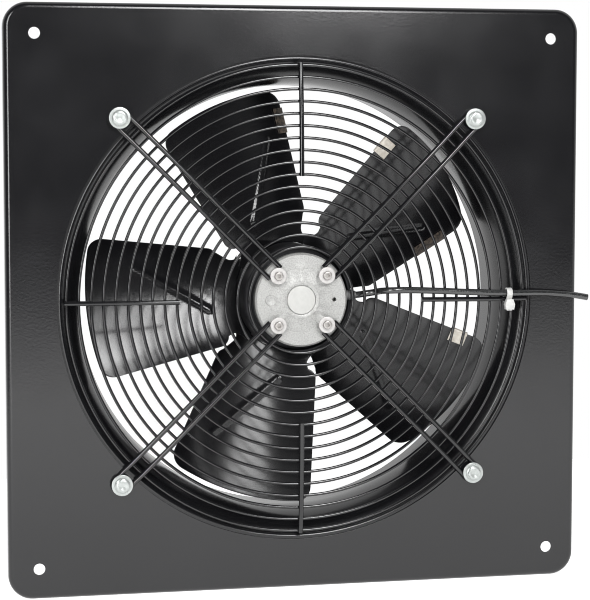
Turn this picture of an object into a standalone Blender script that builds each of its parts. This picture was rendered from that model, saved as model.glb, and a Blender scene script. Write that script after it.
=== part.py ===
"""Plate-mounted axial extractor fan with an external-rotor motor.

Units are metres. The front of the wall plate is the plane y = 0 and looks along -y, the fan turns about the
y axis, and z is up. Air is drawn in from the front, through the guard, and leaves at the back of the throat.
"""

import math

import bmesh
import bpy
import numpy as np
from mathutils import Matrix, Vector

# Clearance left between pieces that touch each other
GAP = 0.0003

# Wall plate with turned-back edges, and the drawn inlet ring that laps behind its opening
THROAT_RADIUS = 0.179
THROAT_DEPTH = 0.070
INLET_CURVE = 0.0225
INLET_DEPTH = 0.0448
INLET_LAP = 0.0035
PLATE_MARGIN = 0.041
PLATE_CORNER = 0.020
PLATE_SHEET = 0.0015
RIM_DEPTH = 0.012
RIM_BEND = 0.005
FIXING_INSET = 0.025
FIXING_HOLE = 0.0095

# Wire guard: rings welded behind hairpin legs and short spokes
RING_WIRE = 0.0025
RING_PITCH = 0.010
RING_EDGE = 0.0075
LEG_WIRE = 0.004
LEG_SPREAD = 0.013
LEG_STOP = 0.003
GUARD_RISE = 0.0092
GUARD_DISH = 5.0
WELD_SINK = 0.0003
SPOKE_LENGTH = 0.093
SPOKE_OVERRUN = 0.0015
SPOKE_ANGLES = (90.0, 180.0, 270.0, 359.4)
RING_CLEARANCE = 0.005

# Bolts at the plate end of the legs
BOLT_EDGE = 0.0104
BOLT_DIAMETER = 0.006
BOLT_FLATS = 0.010
BOLT_HEAD = 0.004
BOLT_TAIL = 0.002
BOLT_WASHER = 0.0176
BOLT_WASHER_SHEET = 0.0016
NUT_HEIGHT = 0.005

# Motor flange and its screws
FLANGE_RADIUS = 0.039
FLANGE_THICKNESS = 0.009
FLANGE_CHAMFER = 0.0015
SCREW_CIRCLE = 0.058
SCREW_DIAMETER = 0.004
SCREW_LENGTH = 0.010
SCREW_HEAD = 0.0072
SCREW_HEAD_HEIGHT = 0.0022
SCREW_HEAD_CHAMFER = 0.0009
SCREW_SOCKET = 0.0026
SCREW_SOCKET_DEPTH = 0.0012
SCREW_WASHER = 0.0138
SCREW_WASHER_SHEET = 0.0015
CAP_RADIUS = 0.012
CAP_THICKNESS = 0.0024
CAP_RECESS = 0.002
CAP_CROWN = 0.0006
CAP_EDGE = 0.0010
DATE_BOSS_RADIUS = 0.0047
DATE_BOSS_HEIGHT = 0.0006
DATE_BOSS_OFFSET = 0.026
DRAIN_HOLE = 0.0033
DRAIN_HOLE_DEPTH = 0.004
DRAIN_HOLE_OFFSET = 0.028

# Shaft and bearings
SHAFT_DIAMETER = 0.008
BEARING_DIAMETER = 0.022
BEARING_WIDTH = 0.007
RACE_THICKNESS = 0.0018
BALL_SET_RECESS = 0.0014
BEARING_SEAT = 0.004
TUBE_WALL = 0.0037
TUBE_SHOULDER = 0.0018
SPRING_THICKNESS = 0.0008
CIRCLIP_RIM = 0.0022
CIRCLIP_THICKNESS = 0.001
SHAFT_NOSE = 0.0025
SHAFT_CHAMFER = 0.0005

# Stator and rotor
CORE_LENGTH = 0.030
CORE_SLOTS = 12
SLOT_WIDTH = 0.006
SLOT_ROOT = 0.006
END_TURN = 0.009
END_TURN_INSET = 0.003
SLOT_BAR_INSET = 0.0015
WINDING_CLEARANCE = 0.0045
AIR_GAP = 0.0006
CAGE_THICKNESS = 0.006
CAGE_OVERHANG = 0.003
ROTOR_RADIUS = 0.0455
ROTOR_WALL = 0.0025
ROTOR_END = 0.004
ROTOR_ROUND = 0.005
ROTOR_RUNNING_GAP = 0.0035
HUB_RADIUS = 0.009
HUB_CLEARANCE = 0.0015

# Blades, in a frame where v runs out along the blade's middle and u across it, towards its leading edge
BLADE_COUNT = 5
FIRST_BLADE_ANGLE = 112.0
TIP_CLEARANCE = 0.0055
BLADE_SHEET = 0.0015
LEADING_OFFSET = 0.0255
LEADING_ANGLE = 10.1
TRAILING_OFFSET = 0.0335
TRAILING_ANGLE = 9.5
ROOT_STANDOFF = 0.011
ROOT_PITCH = 23.0
TIP_PITCH = 25.0
CAMBER = 0.008
BLADE_SETBACK = 0.040
TIP_CORNER = 0.011
ROOT_CORNER = 0.007
NECK_TRAILING_ANGLE = 35.0
NECK_LEADING_ANGLE = 27.0
NECK_WAIST = 0.0065
FOOT_SPREAD = 1.11
FOOT_WIDTH = 0.008
FOOT_GAP = 0.0011

# Balance clips pushed on blade edges: blade number, edge (1 leading, -1 trailing), distance from tip, length
CLIP_SHEET = 0.0009
CLIP_REACH = 0.0105
CLIP_GAP = 0.0005
BALANCE_CLIPS = (
    (0, -1, 0.0355, 0.022),
    (3, 1, 0.0335, 0.0145),
    (4, 1, 0.0336, 0.0155),
    (4, -1, 0.047, 0.031),
)

# Supply cable, its grommet and the tie that holds it to a spoke
CABLE_DIAMETER = 0.0054
CABLE_ROUTE = (
    (0.0386, -0.0004, 0.0030), (0.0450, -0.0003, 0.0030), (0.0512, 0.0006, 0.0033),
    (0.0568, 0.00165, 0.0039), (0.0620, 0.00075, 0.0047), (0.0661, -0.0022, 0.0057),
    (0.0687, -0.00636, 0.0065), (0.0713, -0.0105, 0.0070), (0.0754, -0.01345, 0.0073),
    (0.0806, -0.01445, 0.0074), (0.0865, -0.0141, 0.0074), (0.0970, -0.0127, 0.0071),
    (0.1100, -0.0116, 0.0065), (0.1240, -0.0110, 0.0058), (0.1380, -0.0108, 0.0050),
    (0.1530, -0.0103, 0.0043), (0.1680, -0.0095, 0.0036), (0.1800, -0.0086, 0.0032),
    (0.1950, -0.0068, 0.0030), (0.2080, -0.0050, 0.0028), (0.2190, -0.0039, 0.0022),
    (0.2300, -0.0034, 0.0012), (0.2400, -0.0033, 0.0000), (0.2514, -0.0034, -0.0020),
)
CABLE_STEPS = 2
GROMMET_LENGTH = 0.0125
GROMMET_RADIUS = 0.0042
GROMMET_TAPER = 0.0006
GROMMET_SEAT = 0.004
TIE_WIDTH = 0.0048
TIE_SHEET = 0.0012
TIE_HEAD_TOP = 0.0056
TIE_HEAD_WIDTH = 0.0092
TIE_HEAD_FOOT = 0.0074
TIE_HEAD_HEIGHT = 0.0087
TIE_HEAD_DEPTH = 0.0050
TIE_HEAD_SINK = 0.0008

# Facets, and the names of the four corners from the top left, clockwise
PLATE_QUARTER = 12
PLATE_CORNER_FACETS = 4
RING_FACET = 0.040
RING_FACETS = 24
MOTOR_FACETS = 28
SMALL_FACETS = 12
LEG_SIDES = 6
RING_SIDES = 4
CORNER_NAMES = ("top_left", "top_right", "bottom_right", "bottom_left")

# Places that follow from the driving sizes
INLET_RADIUS = THROAT_RADIUS + INLET_CURVE
PLATE_HALF = INLET_RADIUS + PLATE_MARGIN
INLET_FRONT = PLATE_SHEET + GAP
FIXING_HALF = PLATE_HALF - FIXING_INSET
BOLT_CIRCLE = INLET_RADIUS + BOLT_EDGE
SEAT_DEPTH = -(LEG_WIRE / 2 + GAP)
SEAT_EDGE = BOLT_CIRCLE - BOLT_WASHER / 2 - 2 * GAP
RING_HALF = RING_WIRE * math.sqrt(math.pi) / 4
OUTER_RING = INLET_RADIUS - RING_EDGE
TIE_PLACE = OUTER_RING - 1.5 * RING_PITCH
FLANGE_FRONT = -GUARD_RISE + LEG_WIRE / 2 + GAP
FLANGE_REAR = FLANGE_FRONT + FLANGE_THICKNESS
WIRE_FRONT = -GUARD_RISE - LEG_WIRE / 2
SCREW_WASHER_FRONT = WIRE_FRONT - GAP - SCREW_WASHER_SHEET
BOSS_RADIUS = LEG_SPREAD / 2 - LEG_WIRE / 2 / math.cos(math.pi / LEG_SIDES) - GAP
SHAFT_RADIUS = SHAFT_DIAMETER / 2
BEARING_RADIUS = BEARING_DIAMETER / 2
TUBE_BORE = BEARING_RADIUS + GAP
TUBE_RADIUS = TUBE_BORE + TUBE_WALL
CORE_FRONT = FLANGE_REAR + WINDING_CLEARANCE + END_TURN + GAP
CORE_REAR = CORE_FRONT + CORE_LENGTH
ROTOR_FRONT = FLANGE_REAR + ROTOR_RUNNING_GAP
ROTOR_INNER_END = CORE_REAR + GAP + END_TURN + WINDING_CLEARANCE
ROTOR_REAR = ROTOR_INNER_END + ROTOR_END
ROTOR_BORE = ROTOR_RADIUS - ROTOR_WALL
CAGE_RADIUS = ROTOR_BORE - GAP
CAGE_BORE = CAGE_RADIUS - CAGE_THICKNESS
CORE_RADIUS = CAGE_BORE - AIR_GAP
FRONT_BEARING = FLANGE_FRONT + CAP_RECESS + BEARING_SEAT
REAR_BEARING = CORE_REAR
TUBE_END = REAR_BEARING + BEARING_WIDTH
BLADE_DEPTH = ROTOR_FRONT + BLADE_SETBACK
TIP_RADIUS = THROAT_RADIUS - TIP_CLEARANCE
ROOT_LINE = ROTOR_RADIUS + ROOT_STANDOFF
FOOT_RADIUS = ROTOR_RADIUS + FOOT_GAP + BLADE_SHEET / 2
FOOT_LIMIT = ROTOR_REAR - ROTOR_ROUND


def clear_scene():
    """Remove whatever the scene holds."""
    for item in list(bpy.data.objects):
        bpy.data.objects.remove(item)


def paint(name, colour, roughness, metallic):
    """Make one Principled material from a linear colour."""
    material = bpy.data.materials.new(name)
    material.use_nodes = True
    shader = material.node_tree.nodes["Principled BSDF"]
    shader.inputs["Base Color"].default_value = (*colour, 1.0)
    shader.inputs["Roughness"].default_value = roughness
    shader.inputs["Metallic"].default_value = metallic
    return material


def add_object(name, shape, material, parent=None, smooth_angle=40.0):
    """Turn a bmesh into a named object with its material."""
    bmesh.ops.remove_doubles(shape, verts=shape.verts, dist=1e-6)
    bmesh.ops.recalc_face_normals(shape, faces=shape.faces)
    mesh = bpy.data.meshes.new(name)
    shape.to_mesh(mesh)
    shape.free()
    mesh.shade_smooth()
    mesh.set_sharp_from_angle(angle=math.radians(smooth_angle))
    item = bpy.data.objects.new(name, mesh)
    bpy.context.collection.objects.link(item)
    if material is not None:
        mesh.materials.append(material)
    item.parent = parent
    return item


def combine(item, tool_shape, operation):
    """Cut a tool out of an object, or join the two, with a Boolean modifier."""
    tool = add_object(f"{item.name}_tool_{len(item.modifiers)}", tool_shape, None)
    tool.hide_render = True
    tool.display_type = "WIRE"
    change = item.modifiers.new(operation.lower(), "BOOLEAN")
    change.operation = operation
    change.solver = "EXACT"
    change.object = tool


def turn(shape, profile, facets):
    """Spin a profile of (radius, y) points about the y axis; a profile that starts on the axis stays open."""
    verts = [shape.verts.new((radius, depth, 0.0)) for radius, depth in profile]
    edges = [shape.edges.new(pair) for pair in zip(verts, verts[1:])]
    if profile[0][0] > 0.0:
        edges.append(shape.edges.new((verts[-1], verts[0])))
    bmesh.ops.spin(
        shape,
        geom=verts + edges,
        axis=(0, 1, 0),
        cent=(0, 0, 0),
        angle=2 * math.pi,
        steps=facets,
        use_merge=True,
    )
    bmesh.ops.remove_doubles(shape, verts=shape.verts, dist=1e-6)


def turned(profile, facets):
    """Return a new bmesh that holds one turned shape."""
    shape = bmesh.new()
    turn(shape, profile, facets)
    return shape


def tube_profile(inner, outer, front, rear):
    """Return the profile of a plain ring with square edges."""
    return [(inner, front), (outer, front), (outer, rear), (inner, rear)]


def rod(shape, radius, front, rear, place, facets):
    """Add a closed cylinder along y at an (x, z) place."""
    turning = Matrix.Rotation(math.pi / 2, 4, "X") @ Matrix.Rotation(math.pi / facets, 4, "Z")
    middle = Matrix.Translation((place[0], (front + rear) / 2, place[1]))
    bmesh.ops.create_cone(
        shape, cap_ends=True, segments=facets, radius1=radius, radius2=radius, depth=rear - front,
        matrix=middle @ turning,
    )


def block(shape, size, matrix):
    """Add a box of a size, placed by a matrix."""
    bmesh.ops.create_cube(shape, size=1.0, matrix=matrix @ Matrix.Diagonal((*size, 1.0)))


def sweep(shape, points, apothem, sides, closed=False):
    """Sweep a polygon, whose flats face along y, through a list of points."""
    radius = apothem / math.cos(math.pi / sides)
    count = len(points)
    loops = []
    for index, point in enumerate(points):
        before = points[index - 1] if closed or index > 0 else point
        after = points[(index + 1) % count] if closed or index < count - 1 else point
        along = (after - before).normalized()
        side = along.cross(Vector((0, 1, 0))).normalized()
        lift = side.cross(along)
        loop = []
        for corner in range(sides):
            angle = 2 * math.pi * (corner + 0.5) / sides
            offset = side * (radius * math.sin(angle)) + lift * (radius * math.cos(angle))
            loop.append(shape.verts.new(point + offset))
        loops.append(loop)
    pairs = list(zip(loops, loops[1:]))
    if closed:
        pairs.append((loops[-1], loops[0]))
    else:
        shape.faces.new(loops[0])
        shape.faces.new(loops[-1])
    for first, second in pairs:
        for corner in range(sides):
            following = (corner + 1) % sides
            shape.faces.new((first[corner], first[following], second[following], second[corner]))


def corner_places(half):
    """Return the four (x, z) places of a square pattern."""
    return [(x * half, z * half) for x, z in ((-1, 1), (1, 1), (1, -1), (-1, -1))]


def circle_loop(radius, depth):
    """Return a circle of points, four quarters round, starting on +x."""
    count = 4 * PLATE_QUARTER
    angles = [2 * math.pi * index / count for index in range(count)]
    return [Vector((radius * math.cos(angle), depth, radius * math.sin(angle))) for angle in angles]


def square_loop(half, corner, depth):
    """Return a rounded square with as many points as a circle loop."""
    centre = half - corner
    straight = (PLATE_QUARTER - PLATE_CORNER_FACETS) // 2
    quarter = [(half, centre * step / straight) for step in range(straight)]
    for step in range(PLATE_CORNER_FACETS + 1):
        angle = math.pi / 2 * step / PLATE_CORNER_FACETS
        quarter.append((centre + corner * math.cos(angle), centre + corner * math.sin(angle)))
    quarter += [(centre * step / straight, half) for step in range(straight - 1, 0, -1)]
    points = []
    for turn_number in range(4):
        spin = Matrix.Rotation(-turn_number * math.pi / 2, 3, "Y")
        points += [spin @ Vector((x, depth, z)) for x, z in quarter]
    return points


def loft_sheet(name, loops, material):
    """Skin a list of loops into one open sheet, and thicken it away from the front."""
    shape = bmesh.new()
    rows = [[shape.verts.new(point) for point in loop] for loop in loops]
    for outer, inner in zip(rows, rows[1:]):
        for index in range(len(outer)):
            after = (index + 1) % len(outer)
            shape.faces.new((outer[index], outer[after], inner[after], inner[index]))
    sheet = add_object(name, shape, material)
    flattest = max(sheet.data.polygons, key=lambda face: abs(face.normal.y))
    if flattest.normal.y > 0:
        sheet.data.flip_normals()
    wall = sheet.modifiers.new("sheet", "SOLIDIFY")
    wall.thickness = PLATE_SHEET
    wall.offset = -1.0
    wall.use_even_offset = True
    return sheet


def make_wall_plate(material):
    """Loft the sheet from the rim, over the bend, to the edge of the opening, then cut the holes."""
    bend_steps = 3
    loops = [square_loop(PLATE_HALF, PLATE_CORNER, RIM_DEPTH)]
    for step in range(bend_steps + 1):
        angle = math.pi / 2 * step / bend_steps
        inset = RIM_BEND * (1 - math.cos(angle))
        loops.append(square_loop(PLATE_HALF - inset, PLATE_CORNER - inset, RIM_BEND * (1 - math.sin(angle))))
    loops.append(circle_loop(INLET_RADIUS, 0.0))
    plate = loft_sheet("wall_plate", loops, material)
    holes = bmesh.new()
    for place in corner_places(FIXING_HALF):
        rod(holes, FIXING_HOLE / 2, -PLATE_SHEET, 2 * PLATE_SHEET, place, SMALL_FACETS)
    for place in corner_places(BOLT_CIRCLE / math.sqrt(2)):
        rod(holes, BOLT_DIAMETER / 2 + GAP, -PLATE_SHEET, 2 * PLATE_SHEET, place, SMALL_FACETS)
    combine(plate, holes, "DIFFERENCE")


def make_inlet_ring(material):
    """Loft the ring from its lap behind the plate, down the elliptical inlet, to the end of the throat."""
    inlet_steps = 8
    loops = [circle_loop(INLET_RADIUS + INLET_LAP, INLET_FRONT)]
    for step in range(inlet_steps + 1):
        angle = math.pi / 2 * step / inlet_steps
        radius = INLET_RADIUS - INLET_CURVE * math.sin(angle)
        loops.append(circle_loop(radius, INLET_FRONT + INLET_DEPTH * (1 - math.cos(angle))))
    loops.append(circle_loop(THROAT_RADIUS, THROAT_DEPTH))
    loft_sheet("inlet_ring", loops, material)


def leg_depth(radius):
    """Return the y of the leg wire's centre: dished in front of the throat, flat on the plate."""
    share = min(1.0, radius / SEAT_EDGE)
    return -GUARD_RISE + (SEAT_DEPTH + GUARD_RISE) * share**GUARD_DISH


def leg_points(direction):
    """Return one hairpin: in from the motor screw, round the bolt and back."""
    across = direction.cross(Vector((0, 1, 0)))
    start = SCREW_CIRCLE / 2 + LEG_STOP
    run_steps = 7
    run_crowding = 0.7
    loop_steps = 6
    run = []
    for step in range(run_steps + 1):
        radius = start + (SEAT_EDGE - start) * (step / run_steps) ** run_crowding
        run.append((radius, leg_depth(radius)))
    half = LEG_SPREAD / 2
    out = [direction * radius + across * half + Vector((0, depth, 0)) for radius, depth in run]
    back = [direction * radius - across * half + Vector((0, depth, 0)) for radius, depth in reversed(run)]
    loop = []
    for step in range(loop_steps + 1):
        angle = math.pi * step / loop_steps
        radial = direction * (BOLT_CIRCLE + half * math.sin(angle))
        loop.append(radial + across * (half * math.cos(angle)) + Vector((0, SEAT_DEPTH, 0)))
    return out + loop + back


def heading(degrees):
    """Return the unit direction at an angle, counted from +x towards +z."""
    angle = math.radians(degrees)
    return Vector((math.cos(angle), 0.0, math.sin(angle)))


def make_wire_guard(material):
    """Weld the rings to the legs and spokes in front of them."""
    rings = bmesh.new()
    count = 1 + int((OUTER_RING - FLANGE_RADIUS - RING_CLEARANCE + 1e-9) / RING_PITCH)
    for number in range(count):
        radius = OUTER_RING - number * RING_PITCH
        depth = leg_depth(radius) + LEG_WIRE / 2 + RING_HALF - WELD_SINK
        facets = max(RING_FACETS, 4 * round(2 * math.pi * radius / RING_FACET / 4))
        mean_radius = 2 * radius / (1 + math.cos(math.pi / facets))
        points = [heading(360.0 * (step + 0.5) / facets) * mean_radius for step in range(facets)]
        sweep(rings, [point + Vector((0, depth, 0)) for point in points], RING_HALF, RING_SIDES, closed=True)
    guard = add_object("wire_guard", rings, material)
    wires = bmesh.new()
    for number in range(4):
        sweep(wires, leg_points(heading(45.0 + 90.0 * number)), LEG_WIRE / 2, LEG_SIDES)
    spoke_steps = 3
    for degrees in SPOKE_ANGLES:
        points = []
        for step in range(spoke_steps + 1):
            radius = OUTER_RING + SPOKE_OVERRUN - SPOKE_LENGTH * step / spoke_steps
            points.append(heading(degrees) * radius + Vector((0, leg_depth(radius), 0)))
        sweep(wires, points, LEG_WIRE / 2, LEG_SIDES)
    combine(guard, wires, "UNION")


def make_guard_fasteners(zinc):
    """Put a bolt, a washer and a nut at the plate end of every leg."""
    washer_rear = SEAT_DEPTH - LEG_WIRE / 2 - GAP
    washer_front = washer_rear - BOLT_WASHER_SHEET
    head_rear = washer_front - GAP
    nut_front = PLATE_SHEET + GAP
    nut_rear = nut_front + NUT_HEIGHT
    hex_radius = BOLT_FLATS / math.sqrt(3)
    hole = BOLT_DIAMETER / 2 + GAP
    for name, place in zip(CORNER_NAMES, corner_places(BOLT_CIRCLE / math.sqrt(2))):
        spot = (place[0], 0.0, place[1])
        bolt = bmesh.new()
        rod(bolt, BOLT_DIAMETER / 2, head_rear - BOLT_HEAD / 2, nut_rear + BOLT_TAIL, (0, 0), SMALL_FACETS)
        bolt_object = add_object(f"guard_bolt_{name}", bolt, zinc)
        head = bmesh.new()
        rod(head, hex_radius, head_rear - BOLT_HEAD, head_rear, (0, 0), 6)
        combine(bolt_object, head, "UNION")
        bolt_object.location = spot
        bpy.data.objects[f"{bolt_object.name}_tool_0"].location = spot
        washer = turned(tube_profile(hole, BOLT_WASHER / 2, washer_front, washer_rear), SMALL_FACETS)
        add_object(f"guard_washer_{name}", washer, zinc).location = spot
        nut = bmesh.new()
        rod(nut, hex_radius, nut_front, nut_rear, (0, 0), 6)
        nut_object = add_object(f"guard_nut_{name}", nut, zinc)
        bore = bmesh.new()
        rod(bore, hole, nut_front - GAP, nut_rear + GAP, (0, 0), SMALL_FACETS)
        combine(nut_object, bore, "DIFFERENCE")
        nut_object.location = spot
        bpy.data.objects[f"{nut_object.name}_tool_0"].location = spot


def make_motor_flange(material):
    """Turn the flange and bearing tube, then add the bosses and cut the holes."""
    shoulder = TUBE_BORE - TUBE_SHOULDER
    seat_rear = FRONT_BEARING + BEARING_WIDTH + GAP
    spring_seat = REAR_BEARING - SPRING_THICKNESS - 3 * GAP
    recess = FLANGE_FRONT + CAP_RECESS
    profile = [
        (CAP_RADIUS + GAP, FLANGE_FRONT),
        (FLANGE_RADIUS - FLANGE_CHAMFER, FLANGE_FRONT),
        (FLANGE_RADIUS, FLANGE_FRONT + FLANGE_CHAMFER),
        (FLANGE_RADIUS, FLANGE_REAR),
        (TUBE_RADIUS + FLANGE_CHAMFER, FLANGE_REAR),
        (TUBE_RADIUS, FLANGE_REAR + FLANGE_CHAMFER),
        (TUBE_RADIUS, TUBE_END),
        (TUBE_BORE, TUBE_END),
        (TUBE_BORE, spring_seat),
        (shoulder, spring_seat),
        (shoulder, seat_rear),
        (TUBE_BORE, seat_rear),
        (TUBE_BORE, recess),
        (CAP_RADIUS + GAP, recess),
    ]
    flange = add_object("motor_flange", turned(profile, MOTOR_FACETS), material)
    bosses = bmesh.new()
    for place in corner_places(SCREW_CIRCLE / 2 / math.sqrt(2)):
        rod(bosses, BOSS_RADIUS, WIRE_FRONT, FLANGE_FRONT + FLANGE_THICKNESS / 2, place, SMALL_FACETS)
    date_boss = (-DATE_BOSS_OFFSET, 0.0)
    date_front = FLANGE_FRONT - DATE_BOSS_HEIGHT
    rod(bosses, DATE_BOSS_RADIUS, date_front, FLANGE_FRONT + FLANGE_CHAMFER, date_boss, SMALL_FACETS)
    combine(flange, bosses, "UNION")
    holes = bmesh.new()
    for place in corner_places(SCREW_CIRCLE / 2 / math.sqrt(2)):
        rod(holes, SCREW_DIAMETER / 2 + GAP, WIRE_FRONT - GAP, FLANGE_REAR + GAP, place, SMALL_FACETS)
    drain = (DRAIN_HOLE_OFFSET, 0.0)
    rod(holes, DRAIN_HOLE / 2, FLANGE_FRONT - GAP, FLANGE_FRONT + DRAIN_HOLE_DEPTH, drain, SMALL_FACETS)
    exit_point = Vector(CABLE_ROUTE[0])
    seat_start = FLANGE_RADIUS - GROMMET_SEAT - GAP
    notch_size = (2 * GROMMET_SEAT, 2 * (GROMMET_RADIUS + GAP), 2 * (GROMMET_RADIUS + GAP))
    block(holes, notch_size, Matrix.Translation((seat_start + GROMMET_SEAT, exit_point.y, exit_point.z)))
    combine(flange, holes, "DIFFERENCE")


def make_bearing_cap(material):
    """Turn the crowned cap that closes the bearing bore."""
    rear = FLANGE_FRONT + CAP_RECESS - GAP
    front = rear - CAP_THICKNESS
    crown_steps = 3
    profile = []
    for step in range(crown_steps + 1):
        share = step / crown_steps
        profile.append(((CAP_RADIUS - CAP_EDGE) * share, front - CAP_CROWN * (1 - share * share)))
    profile += [(CAP_RADIUS, front + CAP_EDGE), (CAP_RADIUS, rear), (0.0, rear)]
    add_object("bearing_cap", turned(profile, MOTOR_FACETS), material)


def make_motor_fasteners(steel, zinc):
    """Put a screw and a washer at the motor end of every leg."""
    washer_rear = SCREW_WASHER_FRONT + SCREW_WASHER_SHEET
    head_rear = SCREW_WASHER_FRONT - GAP
    head_front = head_rear - SCREW_HEAD_HEIGHT
    shank = SCREW_DIAMETER / 2
    socket = SCREW_SOCKET / 2
    screw_profile = [
        (0.0, head_front + SCREW_SOCKET_DEPTH),
        (socket, head_front + SCREW_SOCKET_DEPTH),
        (socket, head_front),
        (SCREW_HEAD / 2 - SCREW_HEAD_CHAMFER, head_front),
        (SCREW_HEAD / 2, head_front + SCREW_HEAD_CHAMFER),
        (SCREW_HEAD / 2, head_rear),
        (shank, head_rear),
        (shank, head_rear + SCREW_LENGTH),
        (0.0, head_rear + SCREW_LENGTH),
    ]
    washer_profile = tube_profile(shank + GAP, SCREW_WASHER / 2, SCREW_WASHER_FRONT, washer_rear)
    for name, place in zip(CORNER_NAMES, corner_places(SCREW_CIRCLE / 2 / math.sqrt(2))):
        spot = (place[0], 0.0, place[1])
        add_object(f"motor_screw_{name}", turned(screw_profile, SMALL_FACETS), steel).location = spot
        add_object(f"motor_washer_{name}", turned(washer_profile, SMALL_FACETS), zinc).location = spot


def make_bearing(name, front, steel, rotor_axis):
    """Make one ball bearing as outer ring, ball set and inner ring; the inner ring turns with the shaft."""
    rear = front + BEARING_WIDTH
    bore = SHAFT_RADIUS + GAP
    inner_rim = bore + RACE_THICKNESS
    outer_rim = BEARING_RADIUS - RACE_THICKNESS
    outer_ring = tube_profile(outer_rim, BEARING_RADIUS, front, rear)
    ball_set = tube_profile(inner_rim + GAP, outer_rim - GAP, front + BALL_SET_RECESS, rear - BALL_SET_RECESS)
    inner_ring = tube_profile(bore, inner_rim, front, rear)
    add_object(f"{name}_outer_ring", turned(outer_ring, SMALL_FACETS), steel)
    add_object(f"{name}_ball_set", turned(ball_set, SMALL_FACETS), steel)
    add_object(f"{name}_inner_ring", turned(inner_ring, SMALL_FACETS), steel, rotor_axis)


def make_shaft(steel, rotor_axis):
    """Make the shaft, its circlip and the spring that loads the rear bearing."""
    nose = FRONT_BEARING - CIRCLIP_THICKNESS - GAP - SHAFT_NOSE
    profile = [
        (0.0, nose),
        (SHAFT_RADIUS - SHAFT_CHAMFER, nose),
        (SHAFT_RADIUS, nose + SHAFT_CHAMFER),
        (SHAFT_RADIUS, ROTOR_REAR),
        (0.0, ROTOR_REAR),
    ]
    add_object("shaft", turned(profile, SMALL_FACETS), steel, rotor_axis)
    bore = SHAFT_RADIUS + GAP
    clip_rear = FRONT_BEARING - GAP
    clip = tube_profile(bore, bore + CIRCLIP_RIM, clip_rear - CIRCLIP_THICKNESS, clip_rear)
    add_object("shaft_circlip", turned(clip, SMALL_FACETS), steel, rotor_axis)
    spring_rear = REAR_BEARING - GAP
    spring = tube_profile(
        BEARING_RADIUS - RACE_THICKNESS, BEARING_RADIUS, spring_rear - SPRING_THICKNESS, spring_rear
    )
    add_object("bearing_spring", turned(spring, SMALL_FACETS), steel)


def slot_bars(width, root, outer, front, rear):
    """Return a bmesh of radial bars, one to a slot."""
    bars = bmesh.new()
    size = (outer - root, rear - front, width)
    for number in range(CORE_SLOTS):
        spin = Matrix.Rotation(2 * math.pi * number / CORE_SLOTS, 4, "Y")
        block(bars, size, spin @ Matrix.Translation(((outer + root) / 2, (front + rear) / 2, 0.0)))
    return bars


def make_stator(core_material, winding_material):
    """Make the slotted core and the winding: bars through the slots, joined by the end turns."""
    bore = TUBE_RADIUS + GAP
    root = bore + SLOT_ROOT
    core_profile = tube_profile(bore, CORE_RADIUS, CORE_FRONT, CORE_REAR)
    core = add_object("stator_core", turned(core_profile, MOTOR_FACETS), core_material)
    slots = slot_bars(SLOT_WIDTH, root, CORE_RADIUS + SLOT_WIDTH, CORE_FRONT - GAP, CORE_REAR + GAP)
    combine(core, slots, "DIFFERENCE")
    turn_outer = CORE_RADIUS - END_TURN_INSET
    turn_inner = root + GAP
    front_turn = tube_profile(turn_inner, turn_outer, CORE_FRONT - GAP - END_TURN, CORE_FRONT - GAP)
    rear_turn = tube_profile(turn_inner, turn_outer, CORE_REAR + GAP, CORE_REAR + GAP + END_TURN)
    turns = turned(front_turn, MOTOR_FACETS)
    turn(turns, rear_turn, MOTOR_FACETS)
    winding = add_object("stator_winding", turns, winding_material)
    bar_front = CORE_FRONT - END_TURN / 2
    bar_rear = CORE_REAR + END_TURN / 2
    bars = slot_bars(SLOT_WIDTH - 2 * GAP, turn_inner + GAP, turn_outer - SLOT_BAR_INSET, bar_front, bar_rear)
    combine(winding, bars, "UNION")


def make_rotor(paint_black, steel, rotor_axis):
    """Turn the rotor can with its hub, and the cage ring inside it."""
    hole = SHAFT_RADIUS + GAP
    hub_front = TUBE_END + HUB_CLEARANCE
    round_steps = 3
    shell_profile = [
        (ROTOR_BORE, ROTOR_FRONT),
        (ROTOR_RADIUS - ROTOR_WALL / 2, ROTOR_FRONT),
        (ROTOR_RADIUS, ROTOR_FRONT + ROTOR_WALL / 2),
    ]
    for step in range(round_steps + 1):
        angle = math.pi / 2 * step / round_steps
        inset = ROTOR_ROUND * (1 - math.cos(angle))
        shell_profile.append((ROTOR_RADIUS - inset, ROTOR_REAR - ROTOR_ROUND * (1 - math.sin(angle))))
    shell_profile += [
        (hole, ROTOR_REAR),
        (hole, hub_front),
        (HUB_RADIUS, hub_front),
        (HUB_RADIUS, ROTOR_INNER_END),
        (ROTOR_BORE, ROTOR_INNER_END),
    ]
    add_object("rotor_shell", turned(shell_profile, MOTOR_FACETS), paint_black, rotor_axis)
    cage = tube_profile(CAGE_BORE, CAGE_RADIUS, CORE_FRONT - CAGE_OVERHANG, CORE_REAR + CAGE_OVERHANG)
    add_object("rotor_cage", turned(cage, MOTOR_FACETS), steel, rotor_axis)


def leading_edge(v):
    """Return u of the leading edge at a distance v out."""
    return LEADING_OFFSET + math.tan(math.radians(LEADING_ANGLE)) * v


def trailing_edge(v):
    """Return u of the trailing edge at a distance v out."""
    return -TRAILING_OFFSET - math.tan(math.radians(TRAILING_ANGLE)) * v


def across_blade(share, v):
    """Return u at a share of the way from the trailing edge to the leading edge."""
    return trailing_edge(v) + share * (leading_edge(v) - trailing_edge(v))


def blade_depth(u, v):
    """Return y of the blade's middle surface: pitched, and bowed towards the front."""
    share = (v - ROOT_LINE) / (TIP_RADIUS - ROOT_LINE)
    pitch = math.radians(ROOT_PITCH + (TIP_PITCH - ROOT_PITCH) * share)
    lead = leading_edge(v)
    trail = trailing_edge(v)
    across = (2 * u - lead - trail) / (lead - trail)
    return BLADE_DEPTH - math.tan(pitch) * u - CAMBER * (1 - across * across)


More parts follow.
